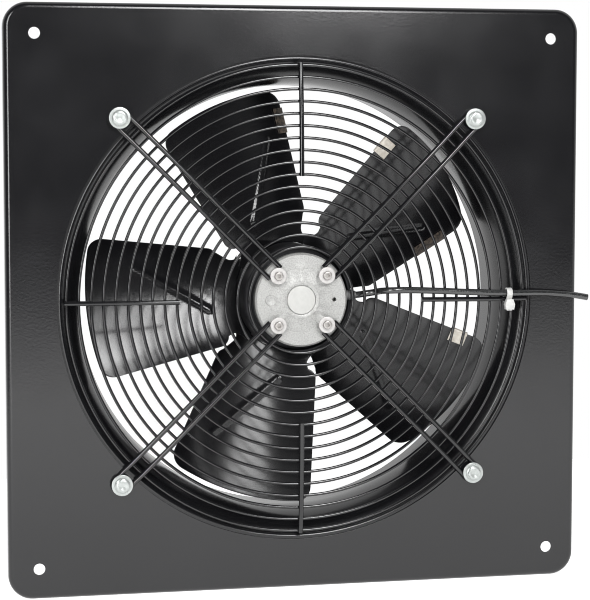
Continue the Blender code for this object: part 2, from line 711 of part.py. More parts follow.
def blade_point(u, v, axes):
    """Return the blade's middle surface in space; axes are the blade's u and v directions."""
    return axes[0] * u + axes[1] * v + Vector((0, blade_depth(u, v), 0))


def polar_point(radius, angle, axes):
    """Return the blade's middle surface at a radius and at an angle from the blade's middle, in radians."""
    return blade_point(radius * math.sin(angle), radius * math.cos(angle), axes)


def blade_axes(number):
    """Return the u and v directions of one blade."""
    angle = FIRST_BLADE_ANGLE + 360.0 * number / BLADE_COUNT
    return heading(angle + 90.0), heading(angle)


def corner_drop(distance, radius):
    """Return how far a rounded corner falls below its edge at a distance from the side."""
    inside = max(0.0, radius - distance)
    return radius - math.sqrt(radius * radius - inside * inside)


def blade_columns(corner_columns, neck_columns):
    """Return shares across the blade: crowded towards both corners, even over the neck between them."""
    trail = trailing_edge(ROOT_LINE)
    root_width = leading_edge(ROOT_LINE) - trail
    neck_start = (-ROOT_LINE * math.tan(math.radians(NECK_TRAILING_ANGLE)) - trail) / root_width
    neck_end = (ROOT_LINE * math.tan(math.radians(NECK_LEADING_ANGLE)) - trail) / root_width
    crowding = [1 - math.cos(math.pi / 2 * step / corner_columns) for step in range(corner_columns)]
    before = [neck_start * share for share in crowding]
    after = [1 - (1 - neck_end) * share for share in reversed(crowding)]
    width = neck_end - neck_start
    over = [neck_start + width * step / neck_columns for step in range(neck_columns + 1)]
    return before + over + after


def make_blade(number, material, rotor_axis):
    """Make one blade from a sheet: rounded trapezium, cambered, its radial neck bent along the rotor."""
    corner_columns = 2
    neck_columns = 8
    rows = 5
    tip_rounds = 4
    axes = blade_axes(number)
    root_width = leading_edge(ROOT_LINE) - trailing_edge(ROOT_LINE)
    tip_width = leading_edge(TIP_RADIUS) - trailing_edge(TIP_RADIUS)
    shape = bmesh.new()
    grid = []
    for share in blade_columns(corner_columns, neck_columns):
        side = min(share, 1 - share)
        low = ROOT_LINE + corner_drop(side * root_width, ROOT_CORNER)
        high = TIP_RADIUS
        for _ in range(tip_rounds):
            high = math.sqrt(TIP_RADIUS**2 - across_blade(share, high) ** 2)
        high -= corner_drop(side * tip_width, TIP_CORNER)
        line = []
        for row in range(rows + 1):
            v = low + (high - low) * row / rows
            line.append(shape.verts.new(blade_point(across_blade(share, v), v, axes)))
        grid.append((math.atan2(across_blade(share, low), low), line))
    for (_, left), (_, right) in zip(grid, grid[1:]):
        for row in range(rows):
            shape.faces.new((left[row], right[row], right[row + 1], left[row + 1]))
    neck = grid[corner_columns: corner_columns + neck_columns + 1]
    foot = []
    for angle, line in neck:
        waist = shape.verts.new(polar_point(FOOT_RADIUS + NECK_WAIST, angle, axes))
        bend = shape.verts.new(polar_point(FOOT_RADIUS, angle * FOOT_SPREAD, axes))
        width = min(FOOT_WIDTH, FOOT_LIMIT - bend.co.y)
        end = shape.verts.new(bend.co + Vector((0, width, 0)))
        foot.append((line[0], waist, bend, end))
    for left, right in zip(foot, foot[1:]):
        for row in range(len(left) - 1):
            shape.faces.new((left[row], left[row + 1], right[row + 1], right[row]))
    blade = add_object(f"blade_{number + 1}", shape, material, rotor_axis)
    sheet = blade.modifiers.new("sheet", "SOLIDIFY")
    sheet.thickness = BLADE_SHEET
    sheet.offset = 0.0
    sheet.use_even_offset = True


def make_balance_clip(label, number, edge, from_tip, length, material, rotor_axis):
    """Fold one clip over a blade edge; edge is 1 on the leading edge and -1 on the trailing edge."""
    axes = blade_axes(number)
    v = TIP_RADIUS - from_tip
    edge_of = leading_edge if edge > 0 else trailing_edge
    point = blade_point(edge_of(v), v, axes)
    half = length / 2
    along = blade_point(edge_of(v + half), v + half, axes) - blade_point(edge_of(v - half), v - half, axes)
    along.normalize()
    inner = blade_point(edge_of(v) - edge * CLIP_REACH, v, axes) - point
    inner = (inner - along * inner.dot(along)).normalized()
    normal = along.cross(inner)
    slot = BLADE_SHEET / 2 + CLIP_GAP
    outer = slot + CLIP_SHEET
    back = -CLIP_GAP - CLIP_SHEET
    outline = [
        (CLIP_REACH, outer),
        (back, outer),
        (back, -outer),
        (CLIP_REACH, -outer),
        (CLIP_REACH, -slot),
        (-CLIP_GAP, -slot),
        (-CLIP_GAP, slot),
        (CLIP_REACH, slot),
    ]
    shape = bmesh.new()
    start = [shape.verts.new(point - along * half + inner * reach + normal * lift) for reach, lift in outline]
    face = shape.faces.new(start)
    grown = bmesh.ops.extrude_face_region(shape, geom=[face])
    moved = [item for item in grown["geom"] if isinstance(item, bmesh.types.BMVert)]
    bmesh.ops.translate(shape, verts=moved, vec=along * length)
    add_object(f"balance_clip_{label}", shape, material, rotor_axis)


def smooth_route(points, steps):
    """Return points of the natural cubic spline through a route, steps to each stretch."""
    route = np.array(points)
    spans = np.linalg.norm(np.diff(route, axis=0), axis=1)
    count = len(route)
    balance = np.eye(count)
    load = np.zeros_like(route)
    for index in range(1, count - 1):
        before, after = spans[index - 1], spans[index]
        balance[index, index - 1: index + 2] = before, 2 * (before + after), after
        slopes = np.diff(route[index - 1: index + 2], axis=0) / [[before], [after]]
        load[index] = 6 * (slopes[1] - slopes[0])
    bends = np.linalg.solve(balance, load)
    curve = []
    for index, span in enumerate(spans):
        for step in range(steps):
            b = step / steps
            a = 1 - b
            sag = span**2 / 6 * ((a**3 - a) * bends[index] + (b**3 - b) * bends[index + 1])
            curve.append(Vector(a * route[index] + b * route[index + 1] + sag))
    curve.append(Vector(route[-1]))
    return curve


def make_cable(rubber):
    """Lay the cable along its route as a bevelled curve."""
    line = bpy.data.curves.new("supply_cable", "CURVE")
    line.dimensions = "3D"
    line.bevel_depth = CABLE_DIAMETER / 2
    line.bevel_resolution = 2
    line.use_fill_caps = True
    points = smooth_route(CABLE_ROUTE, CABLE_STEPS)
    spline = line.splines.new("POLY")
    spline.points.add(len(points) - 1)
    for knot, point in zip(spline.points, points):
        knot.co = (*point, 1.0)
    line.materials.append(rubber)
    bpy.context.collection.objects.link(bpy.data.objects.new("supply_cable", line))


def make_grommet(rubber):
    """Turn the tapered grommet that carries the cable out of the flange."""
    exit_point = Vector(CABLE_ROUTE[0])
    bore = CABLE_DIAMETER / 2 + 2 * GAP
    start = FLANGE_RADIUS - GROMMET_SEAT
    end = start + GROMMET_LENGTH
    profile = [
        (bore, start),
        (GROMMET_RADIUS, start),
        (GROMMET_RADIUS, FLANGE_RADIUS),
        (GROMMET_RADIUS - GROMMET_TAPER, end),
        (bore, end),
    ]
    shape = turned(profile, SMALL_FACETS)
    bmesh.ops.rotate(shape, verts=shape.verts, cent=(0, 0, 0), matrix=Matrix.Rotation(-math.pi / 2, 3, "Z"))
    grommet = add_object("cable_grommet", shape, rubber)
    grommet.location = (0.0, exit_point.y, exit_point.z)


def hull_loop(first, second, growth, facets):
    """Return the outline round two circles, each (y, z, radius), grown by a margin."""
    a = Vector((first[0], first[1]))
    b = Vector((second[0], second[1]))
    toward = math.atan2(b.y - a.y, b.x - a.x)
    open_angle = math.acos((first[2] - second[2]) / (b - a).length)
    points = []
    for centre, radius, begin, end in (
        (a, first[2], toward + open_angle, toward + 2 * math.pi - open_angle),
        (b, second[2], toward - open_angle, toward + open_angle),
    ):
        for step in range(facets + 1):
            angle = begin + (end - begin) * step / facets
            points.append(centre + Vector((math.cos(angle), math.sin(angle))) * (radius + growth))
    return points


def make_cable_tie(nylon):
    """Loop the tie round the cable and the spoke, with its six-sided head in front of the spoke."""
    route = smooth_route(CABLE_ROUTE, CABLE_STEPS)
    cable = min(route, key=lambda point: abs(point.x - TIE_PLACE))
    spoke = heading(SPOKE_ANGLES[-1]) * TIE_PLACE
    cable_circle = (cable.y, cable.z, CABLE_DIAMETER / 2)
    spoke_circle = (leg_depth(TIE_PLACE), spoke.z, LEG_WIRE / 2 / math.cos(math.pi / LEG_SIDES))
    facets = 8
    inner = hull_loop(cable_circle, spoke_circle, 2 * GAP, facets)
    outer = hull_loop(cable_circle, spoke_circle, 2 * GAP + TIE_SHEET, facets)
    shape = bmesh.new()
    loops = []
    for x in (TIE_PLACE - TIE_WIDTH / 2, TIE_PLACE + TIE_WIDTH / 2):
        loops.append([shape.verts.new((x, point.x, point.y)) for point in inner])
        loops.append([shape.verts.new((x, point.x, point.y)) for point in outer])
    near_in, near_out, far_in, far_out = loops
    for first, second in ((near_in, near_out), (near_out, far_out), (far_out, far_in), (far_in, near_in)):
        for index in range(len(first)):
            after = (index + 1) % len(first)
            shape.faces.new((first[index], first[after], second[after], second[index]))
    tie = add_object("cable_tie", shape, nylon)
    rear = spoke_circle[0] - spoke_circle[2] - 2 * GAP - TIE_SHEET + TIE_HEAD_SINK
    levels = ((0.0, TIE_HEAD_TOP), (TIE_HEAD_HEIGHT / 2, TIE_HEAD_WIDTH), (TIE_HEAD_HEIGHT, TIE_HEAD_FOOT))
    right = [(TIE_PLACE + width / 2, rear, spoke.z - drop) for drop, width in levels]
    left = [(TIE_PLACE - width / 2, rear, spoke.z - drop) for drop, width in reversed(levels)]
    head = bmesh.new()
    face = head.faces.new([head.verts.new(point) for point in right + left])
    grown = bmesh.ops.extrude_face_region(head, geom=[face])
    moved = [item for item in grown["geom"] if isinstance(item, bmesh.types.BMVert)]
    bmesh.ops.translate(head, verts=moved, vec=(0, -TIE_HEAD_DEPTH, 0))
    combine(tie, head, "UNION")


def main():
    """Build every piece of the fan."""
    clear_scene()
    black = paint("black_powder_coat", (0.020, 0.020, 0.022), 0.42, 0.0)
    wire_black = paint("black_wire_coat", (0.018, 0.018, 0.020), 0.40, 0.0)
    zinc = paint("zinc_plate", (0.70, 0.71, 0.70), 0.35, 1.0)
    casting = paint("die_cast_aluminium", (0.64, 0.64, 0.62), 0.55, 0.6)
    cap_white = paint("pale_cap", (0.83, 0.82, 0.79), 0.50, 0.0)
    steel = paint("bare_steel", (0.50, 0.50, 0.50), 0.35, 1.0)
    laminations = paint("laminated_steel", (0.22, 0.22, 0.23), 0.50, 0.8)
    copper = paint("enamelled_copper", (0.45, 0.16, 0.07), 0.35, 0.6)
    clip_metal = paint("clip_metal", (0.52, 0.49, 0.42), 0.45, 0.5)
    rubber = paint("black_rubber", (0.022, 0.022, 0.023), 0.55, 0.0)
    nylon = paint("white_nylon", (0.80, 0.80, 0.79), 0.45, 0.0)

    make_wall_plate(black)
    make_inlet_ring(black)
    make_wire_guard(wire_black)
    make_guard_fasteners(zinc)
    make_motor_flange(casting)
    make_bearing_cap(cap_white)
    make_motor_fasteners(steel, zinc)

    rotor_axis = bpy.data.objects.new("rotor_axis", None)
    bpy.context.collection.objects.link(rotor_axis)
    make_bearing("front_bearing", FRONT_BEARING, steel, rotor_axis)
    make_bearing("rear_bearing", REAR_BEARING, steel, rotor_axis)
    make_shaft(steel, rotor_axis)
    make_stator(laminations, copper)
    make_rotor(black, laminations, rotor_axis)
    for number in range(BLADE_COUNT):
        make_blade(number, black, rotor_axis)
    for label, (number, edge, from_tip, length) in enumerate(BALANCE_CLIPS, start=1):
        make_balance_clip(label, number, edge, from_tip, length, clip_metal, rotor_axis)

    make_grommet(rubber)
    make_cable(rubber)
    make_cable_tie(nylon)


main()
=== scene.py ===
"""Looks of a plate-mounted axial extractor fan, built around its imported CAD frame.

Units are metres. The front of the wall plate is the plane y = 0 and looks along -y, the fan turns
about the y axis, and z is up. Every piece is modelled where its CAD node stands and rides on that
node's body.
"""

import logging
import math
from contextlib import contextmanager
from dataclasses import dataclass
from enum import Enum
from typing import Callable, Iterator, Sequence

import bmesh
import bpy
import numpy as np
from mathutils import Euler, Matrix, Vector

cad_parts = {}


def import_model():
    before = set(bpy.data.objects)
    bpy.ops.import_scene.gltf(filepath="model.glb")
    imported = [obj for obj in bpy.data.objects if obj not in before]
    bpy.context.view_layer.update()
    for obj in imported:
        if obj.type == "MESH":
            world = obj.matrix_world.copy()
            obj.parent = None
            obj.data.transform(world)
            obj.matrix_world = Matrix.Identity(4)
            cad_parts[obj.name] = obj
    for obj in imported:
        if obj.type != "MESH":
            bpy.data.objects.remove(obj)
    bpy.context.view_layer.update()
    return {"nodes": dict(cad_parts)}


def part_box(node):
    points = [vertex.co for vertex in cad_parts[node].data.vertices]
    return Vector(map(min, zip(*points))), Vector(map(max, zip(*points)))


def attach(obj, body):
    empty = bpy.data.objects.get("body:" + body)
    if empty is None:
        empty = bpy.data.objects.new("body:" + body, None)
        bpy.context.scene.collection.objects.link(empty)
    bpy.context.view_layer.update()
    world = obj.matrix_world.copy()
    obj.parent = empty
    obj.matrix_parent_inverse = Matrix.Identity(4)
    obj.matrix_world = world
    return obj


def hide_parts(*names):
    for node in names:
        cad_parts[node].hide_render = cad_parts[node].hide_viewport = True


log = logging.getLogger("fan")

CORNERS = ("top_left", "top_right", "bottom_right", "bottom_left")
LEG_ANGLES = (45.0, 135.0, 225.0, 315.0)
TOUCH = 1e-6
FACING = 0.9
SMOOTH_ANGLE = 38.0
ROUND_ANGLE = 45.0
SHEET_ROUND_ANGLE = 60.0
HEXAGON = 6
WASHER_FACETS = 64
WASHER_SEGMENTS = 3
WHITE = (1.0, 1.0, 1.0, 1.0)
AXIS = Vector((0.0, 1.0, 0.0))
LIE_ALONG_Y = (math.pi / 2, 0.0, 0.0)

Profile = list[tuple[float, float]]
Piece = bpy.types.Object


class Body(Enum):
    """The two CAD bodies that pieces ride on."""

    FRAME = "frame"
    IMPELLER = "impeller"


class Picks(Enum):
    """What edit mode selects."""

    VERTS = "VERT"
    EDGES = "EDGE"
    FACES = "FACE"


def lay_alone(item: Piece) -> None:
    """Select one object only and make it active.

    Args:
        item: the object.
    """
    bpy.ops.object.select_all(action="DESELECT")
    item.select_set(True)
    bpy.context.view_layer.objects.active = item


@contextmanager
def editing(item: Piece, kind: Picks) -> Iterator[None]:
    """Open a piece in edit mode with nothing selected, and close it again.

    Args:
        item: the piece.
        kind: what edit mode selects.

    Yields:
        Nothing, while the piece is open.
    """
    lay_alone(item)
    bpy.ops.object.mode_set(mode="EDIT")
    bpy.ops.mesh.select_mode(type=kind.value)
    bpy.ops.mesh.select_all(action="DESELECT")
    yield
    bpy.ops.object.mode_set(mode="OBJECT")


def pick(item: Piece, kind: Picks, test: Callable[..., bool]) -> None:
    """Select the vertices, edges or faces of the piece in edit mode that pass a test.

    Args:
        item: the piece that is open in edit mode.
        kind: what the test is given.
        test: says of one vertex, edge or face whether it is wanted.
    """
    bpy.ops.mesh.select_mode(type=kind.value)
    bpy.ops.mesh.select_all(action="DESELECT")
    shape = bmesh.from_edit_mesh(item.data)
    parts = {Picks.VERTS: shape.verts, Picks.EDGES: shape.edges, Picks.FACES: shape.faces}[kind]
    for part in [part for part in parts if test(part)]:
        part.select_set(True)
    shape.select_flush_mode()
    bmesh.update_edit_mesh(item.data)


def move_verts(item: Piece, place: Callable[[Vector], Vector], chosen: bool = False) -> None:
    """Move the vertices of the piece in edit mode to where a formula puts them.

    Args:
        item: the piece that is open in edit mode.
        place: gives a vertex's new place from its old one.
        chosen: move the selected vertices only.
    """
    shape = bmesh.from_edit_mesh(item.data)
    for vert in shape.verts:
        if vert.select or not chosen:
            vert.co = place(vert.co)
    bmesh.update_edit_mesh(item.data)


def settle(item: Piece, name: str) -> Piece:
    """Name a new object and put its place into its mesh.

    Args:
        item: the new object.
        name: its name, and its mesh's.

    Returns:
        The object.
    """
    item.name = name
    item.data.name = name
    lay_alone(item)
    bpy.ops.object.transform_apply(location=True, rotation=True, scale=True)
    return item


def add(name: str, operator: Callable[..., set], **settings: object) -> Piece:
    """Add an object with one of Blender's operators, and settle it under a name.

    Args:
        name: the object's name.
        operator: the operator that adds it.
        settings: what the operator is given.

    Returns:
        The object.
    """
    bpy.ops.object.select_all(action="DESELECT")
    operator(**settings)
    return settle(bpy.context.object, name)


def modify(item: Piece, kind: str, **settings: object) -> None:
    """Add a modifier with its settings and apply it.

    Args:
        item: the piece.
        kind: the modifier's type.
        settings: the modifier's properties.
    """
    lay_alone(item)
    bpy.ops.object.modifier_add(type=kind)
    change = item.modifiers[-1]
    for key, value in settings.items():
        setattr(change, key, value)
    bpy.ops.object.modifier_apply(modifier=change.name)


def round_edges(item: Piece, width: float, angle: float = ROUND_ANGLE, segments: int = 2) -> None:
    """Round every edge that is sharper than an angle."""
    limit = math.radians(angle)
    modify(item, "BEVEL", width=width, segments=segments, limit_method="ANGLE", angle_limit=limit)


def smooth(item: Piece, angle: float = SMOOTH_ANGLE) -> None:
    """Shade a piece smooth, except over its sharp edges."""
    lay_alone(item)
    bpy.ops.object.shade_smooth_by_angle(angle=math.radians(angle))


def soften(item: Piece, width: float, angle: float = ROUND_ANGLE) -> Piece:
    """Round the edges of a finished piece and shade it smooth.

    Args:
        item: the piece.
        width: radius of the edges.
        angle: how sharp an edge has to be, in degrees.

    Returns:
        The same piece.
    """
    round_edges(item, width, angle)
    smooth(item)
    return item


def heal(item: Piece) -> None:
    """Merge doubled vertices and turn all faces outwards.

    Args:
        item: the piece.
    """
    with editing(item, Picks.VERTS):
        bpy.ops.mesh.select_all(action="SELECT")
        bpy.ops.mesh.remove_doubles(threshold=TOUCH)
        bpy.ops.mesh.normals_make_consistent(inside=False)


def thicken(item: Piece, sheet: float) -> None:
    """Give an open sheet its thickness, half to each side."""
    heal(item)
    modify(item, "SOLIDIFY", thickness=sheet, offset=0.0, use_even_offset=True)


def join(name: str, items: Sequence[Piece]) -> Piece:
    """Join objects into one piece.

    Args:
        name: the piece's name.
        items: the objects; the first takes up the others.

    Returns:
        The piece.
    """
    lay_alone(items[0])
    for item in items[1:]:
        item.select_set(True)
    bpy.ops.object.join()
    return settle(items[0], name)


def copy_to(item: Piece, name: str, shift: Vector, spin: float = 0.0) -> Piece:
    """Copy a piece with its own mesh, turn it about its own y axis at the origin and shift it.

    Args:
        item: the piece to copy.
        name: the copy's name.
        shift: how far the copy moves.
        spin: how far the copy turns, in degrees.

    Returns:
        The copy.
    """
    lay_alone(item)
    bpy.ops.object.duplicate(linked=False)
    copy = bpy.context.object
    copy.rotation_euler = (0.0, math.radians(spin), 0.0)
    copy.location = shift
    return settle(copy, name)


def discard(*items: Piece) -> None:
    """Remove pieces that were only tools or patterns for others."""
    for item in items:
        bpy.data.objects.remove(item)


def carve(item: Piece, tool: Piece, operation: str) -> None:
    """Cut a tool out of a piece, unite the two or keep what they share, and remove the tool."""
    modify(item, "BOOLEAN", operation=operation, solver="EXACT", object=tool)
    discard(tool)


def turn(name: str, profile: Profile, facets: int, closed: bool = False) -> Piece:
    """Model a turned piece about the y axis: a circle drawn out along a profile.

    Args:
        name: the piece's name.
        profile: points of (radius, y), each radius above zero.
        facets: how many sides the circle has.
        closed: join the last point to the first, for a ring; otherwise both ends are capped.

    Returns:
        The piece.
    """
    radius, depth = profile[0]
    item = add(
        name, bpy.ops.mesh.primitive_circle_add, vertices=facets, radius=radius, rotation=LIE_ALONG_Y,
        location=(0.0, depth, 0.0),
    )
    with editing(item, Picks.EDGES):
        bpy.ops.mesh.select_all(action="SELECT")
        for next_radius, next_depth in profile[1:]:
            step = (0.0, next_depth - depth, 0.0)
            bpy.ops.mesh.extrude_region_move(TRANSFORM_OT_translate={"value": step})
            ratio = next_radius / radius
            bpy.ops.transform.resize(value=(ratio, 1.0, ratio), center_override=(0.0, next_depth, 0.0))
            radius, depth = next_radius, next_depth
        pick(item, Picks.EDGES, lambda edge: edge.is_boundary)
        if closed:
            bpy.ops.mesh.bridge_edge_loops()
        else:
            bpy.ops.mesh.fill_holes(sides=0)
    heal(item)
    return item


def rod(
    name: str, radius: float, front: float, rear: float, facets: int, place: Vector = Vector()
) -> Piece:
    """Add a closed cylinder along y, as a blank or a tool.

    Args:
        name: its name.
        radius: its radius.
        front: y of its front.
        rear: y of its rear.
        facets: how many sides it has.
        place: where its axis stands.

    Returns:
        The cylinder.
    """
    return add(
        name, bpy.ops.mesh.primitive_cylinder_add, vertices=facets, radius=radius, depth=rear - front,
        rotation=LIE_ALONG_Y, location=(place.x, (front + rear) / 2, place.z),
    )


def block(name: str, size: Vector, middle: Vector) -> Piece:
    """Add a box, as a blank or a tool."""
    return add(name, bpy.ops.mesh.primitive_cube_add, size=1.0, location=middle, scale=size)


def drill(
    item: Piece, radius: float, front: float, rear: float, facets: int, place: Vector = Vector()
) -> None:
    """Cut a hole along y out of a piece."""
    carve(item, rod("drill", radius, front, rear, facets, place), "DIFFERENCE")


def prism(name: str, outline: Profile, front: float, rear: float) -> Piece:
    """Add a prism along y.

    Args:
        name: the piece's name.
        outline: corners of (x, z), from the lower left by the right, each in its own share of a turn.
        front: y of its front.
        rear: y of its rear.

    Returns:
        The prism.
    """
    item = rod(name, 1.0, front, rear, len(outline))
    share = 2 * math.pi / len(outline)

    def place(spot: Vector) -> Vector:
        """Return the corner that a vertex of the round blank goes to."""
        x, z = outline[int((math.atan2(spot.z, spot.x) + math.pi) / share)]
        return Vector((x, spot.y, z))

    with editing(item, Picks.VERTS):
        move_verts(item, place)
    heal(item)
    return item


def strip(name: str, columns: int, rows: int, place: Callable[[float, float], Vector]) -> Piece:
    """Lay a grid over a surface.

    Args:
        name: the piece's name.
        columns: faces along the first share.
        rows: faces along the second share.
        place: gives a point from its two shares, each from 0 to 1.

    Returns:
        The open sheet.
    """
    item = add(
        name, bpy.ops.mesh.primitive_grid_add, x_subdivisions=columns, y_subdivisions=rows, size=1.0
    )
    with editing(item, Picks.VERTS):
        move_verts(item, lambda spot: place(spot.x + 0.5, spot.y + 0.5))
    return item


def lay_line(name: str, points: Sequence[Vector], radius: float, rounds: int) -> Piece:
    """Lay a round bevelled curve through points.

    Args:
        name: the curve's name.
        points: where it runs.
        radius: half its thickness.
        rounds: bevel resolution; the section has 2 * rounds + 4 sides.

    Returns:
        The curve object.
    """
    bpy.ops.object.select_all(action="DESELECT")
    bpy.ops.curve.primitive_nurbs_path_add()
    line = bpy.context.object
    line.name = name
    curve = line.data
    curve.name = name
    curve.splines.clear()
    spline = curve.splines.new("POLY")
    spline.points.add(len(points) - 1)
    for knot, point in zip(spline.points, points):
        knot.co = (*point, 1.0)
    spline.use_smooth = True
    curve.dimensions = "3D"
    curve.twist_mode = "MINIMUM"
    curve.bevel_depth = radius
    curve.bevel_resolution = rounds
    curve.use_fill_caps = True
    return line


def wire(name: str, points: Sequence[Vector], radius: float, rounds: int = 4) -> Piece:
    """Make a round wire through points as a mesh.

    Args:
        name: its name.
        points: where it runs.
        radius: half its thickness.
        rounds: bevel resolution.

    Returns:
        The wire.
    """
    lay_alone(lay_line(name, points, radius, rounds))
    bpy.ops.object.convert(target="MESH")
    item = settle(bpy.context.object, name)
    heal(item)
    return item


def heading(degrees: float) -> Vector:
    """Return the unit direction at an angle, counted from +x towards +z."""
    angle = math.radians(degrees)
    return Vector((math.cos(angle), 0.0, math.sin(angle)))


def bearing(azimuth: float, elevation: float) -> Vector:
    """Return a unit direction from the fan.

    Args:
        azimuth: degrees right of straight in front.
        elevation: degrees upwards.

    Returns:
        The direction.
    """
    across = math.radians(azimuth)
    lift = math.radians(elevation)
    level = math.cos(lift)
    return Vector((math.sin(across) * level, -math.cos(across) * level, math.sin(lift)))


def look_back(away: Vector) -> Euler:
    """Return the turn of a camera or lamp that stands in a direction and looks at the fan."""
    return (-away).to_track_quat("-Z", "Y").to_euler()


def shares(steps: int) -> list[float]:
    """Return the shares from 0 to 1 in equal steps."""
    return [step / steps for step in range(steps + 1)]


def arc(centre: tuple[float, float], radius: float, begin: float, end: float, steps: int) -> Profile:
    """Return points of an arc in a profile.

    Args:
        centre: its centre.
        radius: its radius.
        begin: angle of its first point, in degrees.
        end: angle of its last point, in degrees.
        steps: how many steps it has.

    Returns:
        The points.
    """
    x, y = centre
    angles = [math.radians(begin + (end - begin) * share) for share in shares(steps)]
    return [(x + radius * math.cos(angle), y + radius * math.sin(angle)) for angle in angles]


def linear(code: str) -> tuple[float, float, float, float]:
    """Turn an sRGB hex colour into a linear one.

    Args:
        code: the colour, such as #808080.

    Returns:
        Red, green, blue and alpha.
    """
    channels = [int(code[start:start + 2], 16) / 255 for start in (1, 3, 5)]
    toe, slope, offset, power = 0.04045, 12.92, 0.055, 2.4
    lights = []
    for share in channels:
        lights.append(share / slope if share <= toe else ((share + offset) / (1 + offset)) ** power)
    return (*lights, 1.0)


def per_metre(size_mm: float) -> float:
    """Turn the size of one cell of a pattern, in millimetres, into a texture scale."""
    return 1000.0 / size_mm


def add_node(tree: bpy.types.NodeTree, kind: str, feeds: dict, **settings: object) -> bpy.types.Node:
    """Add a node with its settings, input values and links.

    Args:
        tree: the material's or world's node tree.
        kind: the node's type.
        feeds: what goes into each input, by name or number: a value, or the output it is linked to.
        settings: the node's own properties.

    Returns:
        The node.
    """
    node = tree.nodes.new(kind)
    for key, value in settings.items():
        setattr(node, key, value)
    for socket, feed in feeds.items():
        if isinstance(feed, bpy.types.NodeSocket):
            tree.links.new(feed, node.inputs[socket])
        else:
            node.inputs[socket].default_value = feed
    return node


# Sockets of a Mix node that blends two colours, and of one that blends two numbers
MIX_SHARE, MIX_FIRST, MIX_SECOND, MIX_RESULT = 0, 6, 7, 2
MIX_LOW, MIX_HIGH = 2, 3
# Octaves of a drift pattern, and the half range of its noise that spans both tones
DRIFT_DETAIL = 3.0
DRIFT_HALF_RANGE = 0.25
# Cycles of a wave texture per unit of its scale, and how far its ridges wander
WAVES_PER_UNIT = 20.0 / (2 * math.pi)
WAVE_WANDER = 0.6


@dataclass(frozen=True)
class Finish:
    """A surface with a colour, a second tone that drifts over it, uneven gloss and a fine relief."""

    name: str
    slot: str
    colour: str
    tone: str
    roughness: float
    unevenness: float
    drift_mm: float
    relief_mm: float
    relief_height_mm: float
    metallic: float = 0.0
    relief_detail: float = 2.0
    contrast: float = 1.0
    specular: float = 0.5

    def material(self) -> bpy.types.Material:
        """Build the material once and return it from then on.

        Returns:
            The material.
        """
        known = bpy.data.materials.get(self.name)
        if known is not None:
            return known
        material = bpy.data.materials.new(self.name)
        material.use_nodes = True
        tree = material.node_tree
        shader = tree.nodes["Principled BSDF"]
        shader.inputs["Metallic"].default_value = self.metallic
        shader.inputs["Specular IOR Level"].default_value = self.specular
        spot = add_node(tree, "ShaderNodeTexCoord", {}).outputs["Object"]
        drift = self.drift(tree, spot)
        tint = add_node(
            tree, "ShaderNodeMix",
            {MIX_SHARE: drift, MIX_FIRST: linear(self.colour), MIX_SECOND: linear(self.tone)},
            data_type="RGBA",
        )
        gloss = add_node(
            tree, "ShaderNodeMapRange",
            {
                "Value": drift,
                "To Min": self.roughness - self.unevenness,
                "To Max": self.roughness + self.unevenness,
            },
        )
        bump = add_node(
            tree, "ShaderNodeBump",
            {
                "Height": self.relief(tree, spot),
                "Distance": self.relief_height_mm / 1000,
                "Strength": 1.0,
            },
        )
        tree.links.new(tint.outputs[MIX_RESULT], shader.inputs["Base Color"])
        tree.links.new(gloss.outputs["Result"], shader.inputs["Roughness"])
        tree.links.new(bump.outputs["Normal"], shader.inputs["Normal"])
        return material

    def drift(self, tree: bpy.types.NodeTree, spot: bpy.types.NodeSocket) -> bpy.types.NodeSocket:
        """Return the slow pattern that moves the surface from its colour to its second tone.

        Args:
            tree: the material's node tree.
            spot: the Object coordinates.

        Returns:
            A share from 0 to 1.
        """
        cloud = add_node(
            tree, "ShaderNodeTexNoise",
            {"Vector": spot, "Scale": per_metre(self.drift_mm), "Detail": DRIFT_DETAIL},
        )
        spread = DRIFT_HALF_RANGE / self.contrast
        share = add_node(
            tree, "ShaderNodeMapRange",
            {"Value": cloud.outputs["Fac"], "From Min": 0.5 - spread, "From Max": 0.5 + spread},
        )
        return share.outputs["Result"]

    def relief(self, tree: bpy.types.NodeTree, spot: bpy.types.NodeSocket) -> bpy.types.NodeSocket:
        """Return the fine height pattern.

        Args:
            tree: the material's node tree.
            spot: the Object coordinates.

        Returns:
            The height.
        """
        grain = add_node(
            tree, "ShaderNodeTexNoise",
            {"Vector": spot, "Scale": per_metre(self.relief_mm), "Detail": self.relief_detail},
        )
        return grain.outputs["Fac"]


@dataclass(frozen=True)
class LayeredFinish(Finish):
    """A surface of thin layers along the axis, such as a stack of sheets or a wound coil."""

    layer_mm: float = 0.5

    def relief(self, tree: bpy.types.NodeTree, spot: bpy.types.NodeSocket) -> bpy.types.NodeSocket:
        """Return ridges one layer apart.

        Args:
            tree: the material's node tree.
            spot: the Object coordinates.

        Returns:
            The height.
        """
        scale = per_metre(self.layer_mm) / WAVES_PER_UNIT
        ridges = add_node(
            tree, "ShaderNodeTexWave", {"Vector": spot, "Scale": scale, "Distortion": WAVE_WANDER},
            bands_direction="Y",
        )
        return ridges.outputs["Fac"]


# Polyester powder baked on the pressed sheet: satin black, with a soft orange peel that breaks up light
PLATE_PAINT = Finish(
    name="satin_black_powder_coat", slot="plate_paint", colour="#0f0f11", tone="#151517",
    roughness=0.17, unevenness=0.03, drift_mm=60.0, relief_mm=2.2, relief_height_mm=0.036,
)
# The powder on the spun ring, stretched smoother, so that its curve draws the room out into bands
RING_PAINT = Finish(
    name="ring_powder_coat", slot="plate_paint", colour="#0f0f11", tone="#141416", roughness=0.22,
    unevenness=0.03, drift_mm=60.0, relief_mm=2.6, relief_height_mm=0.03,
)
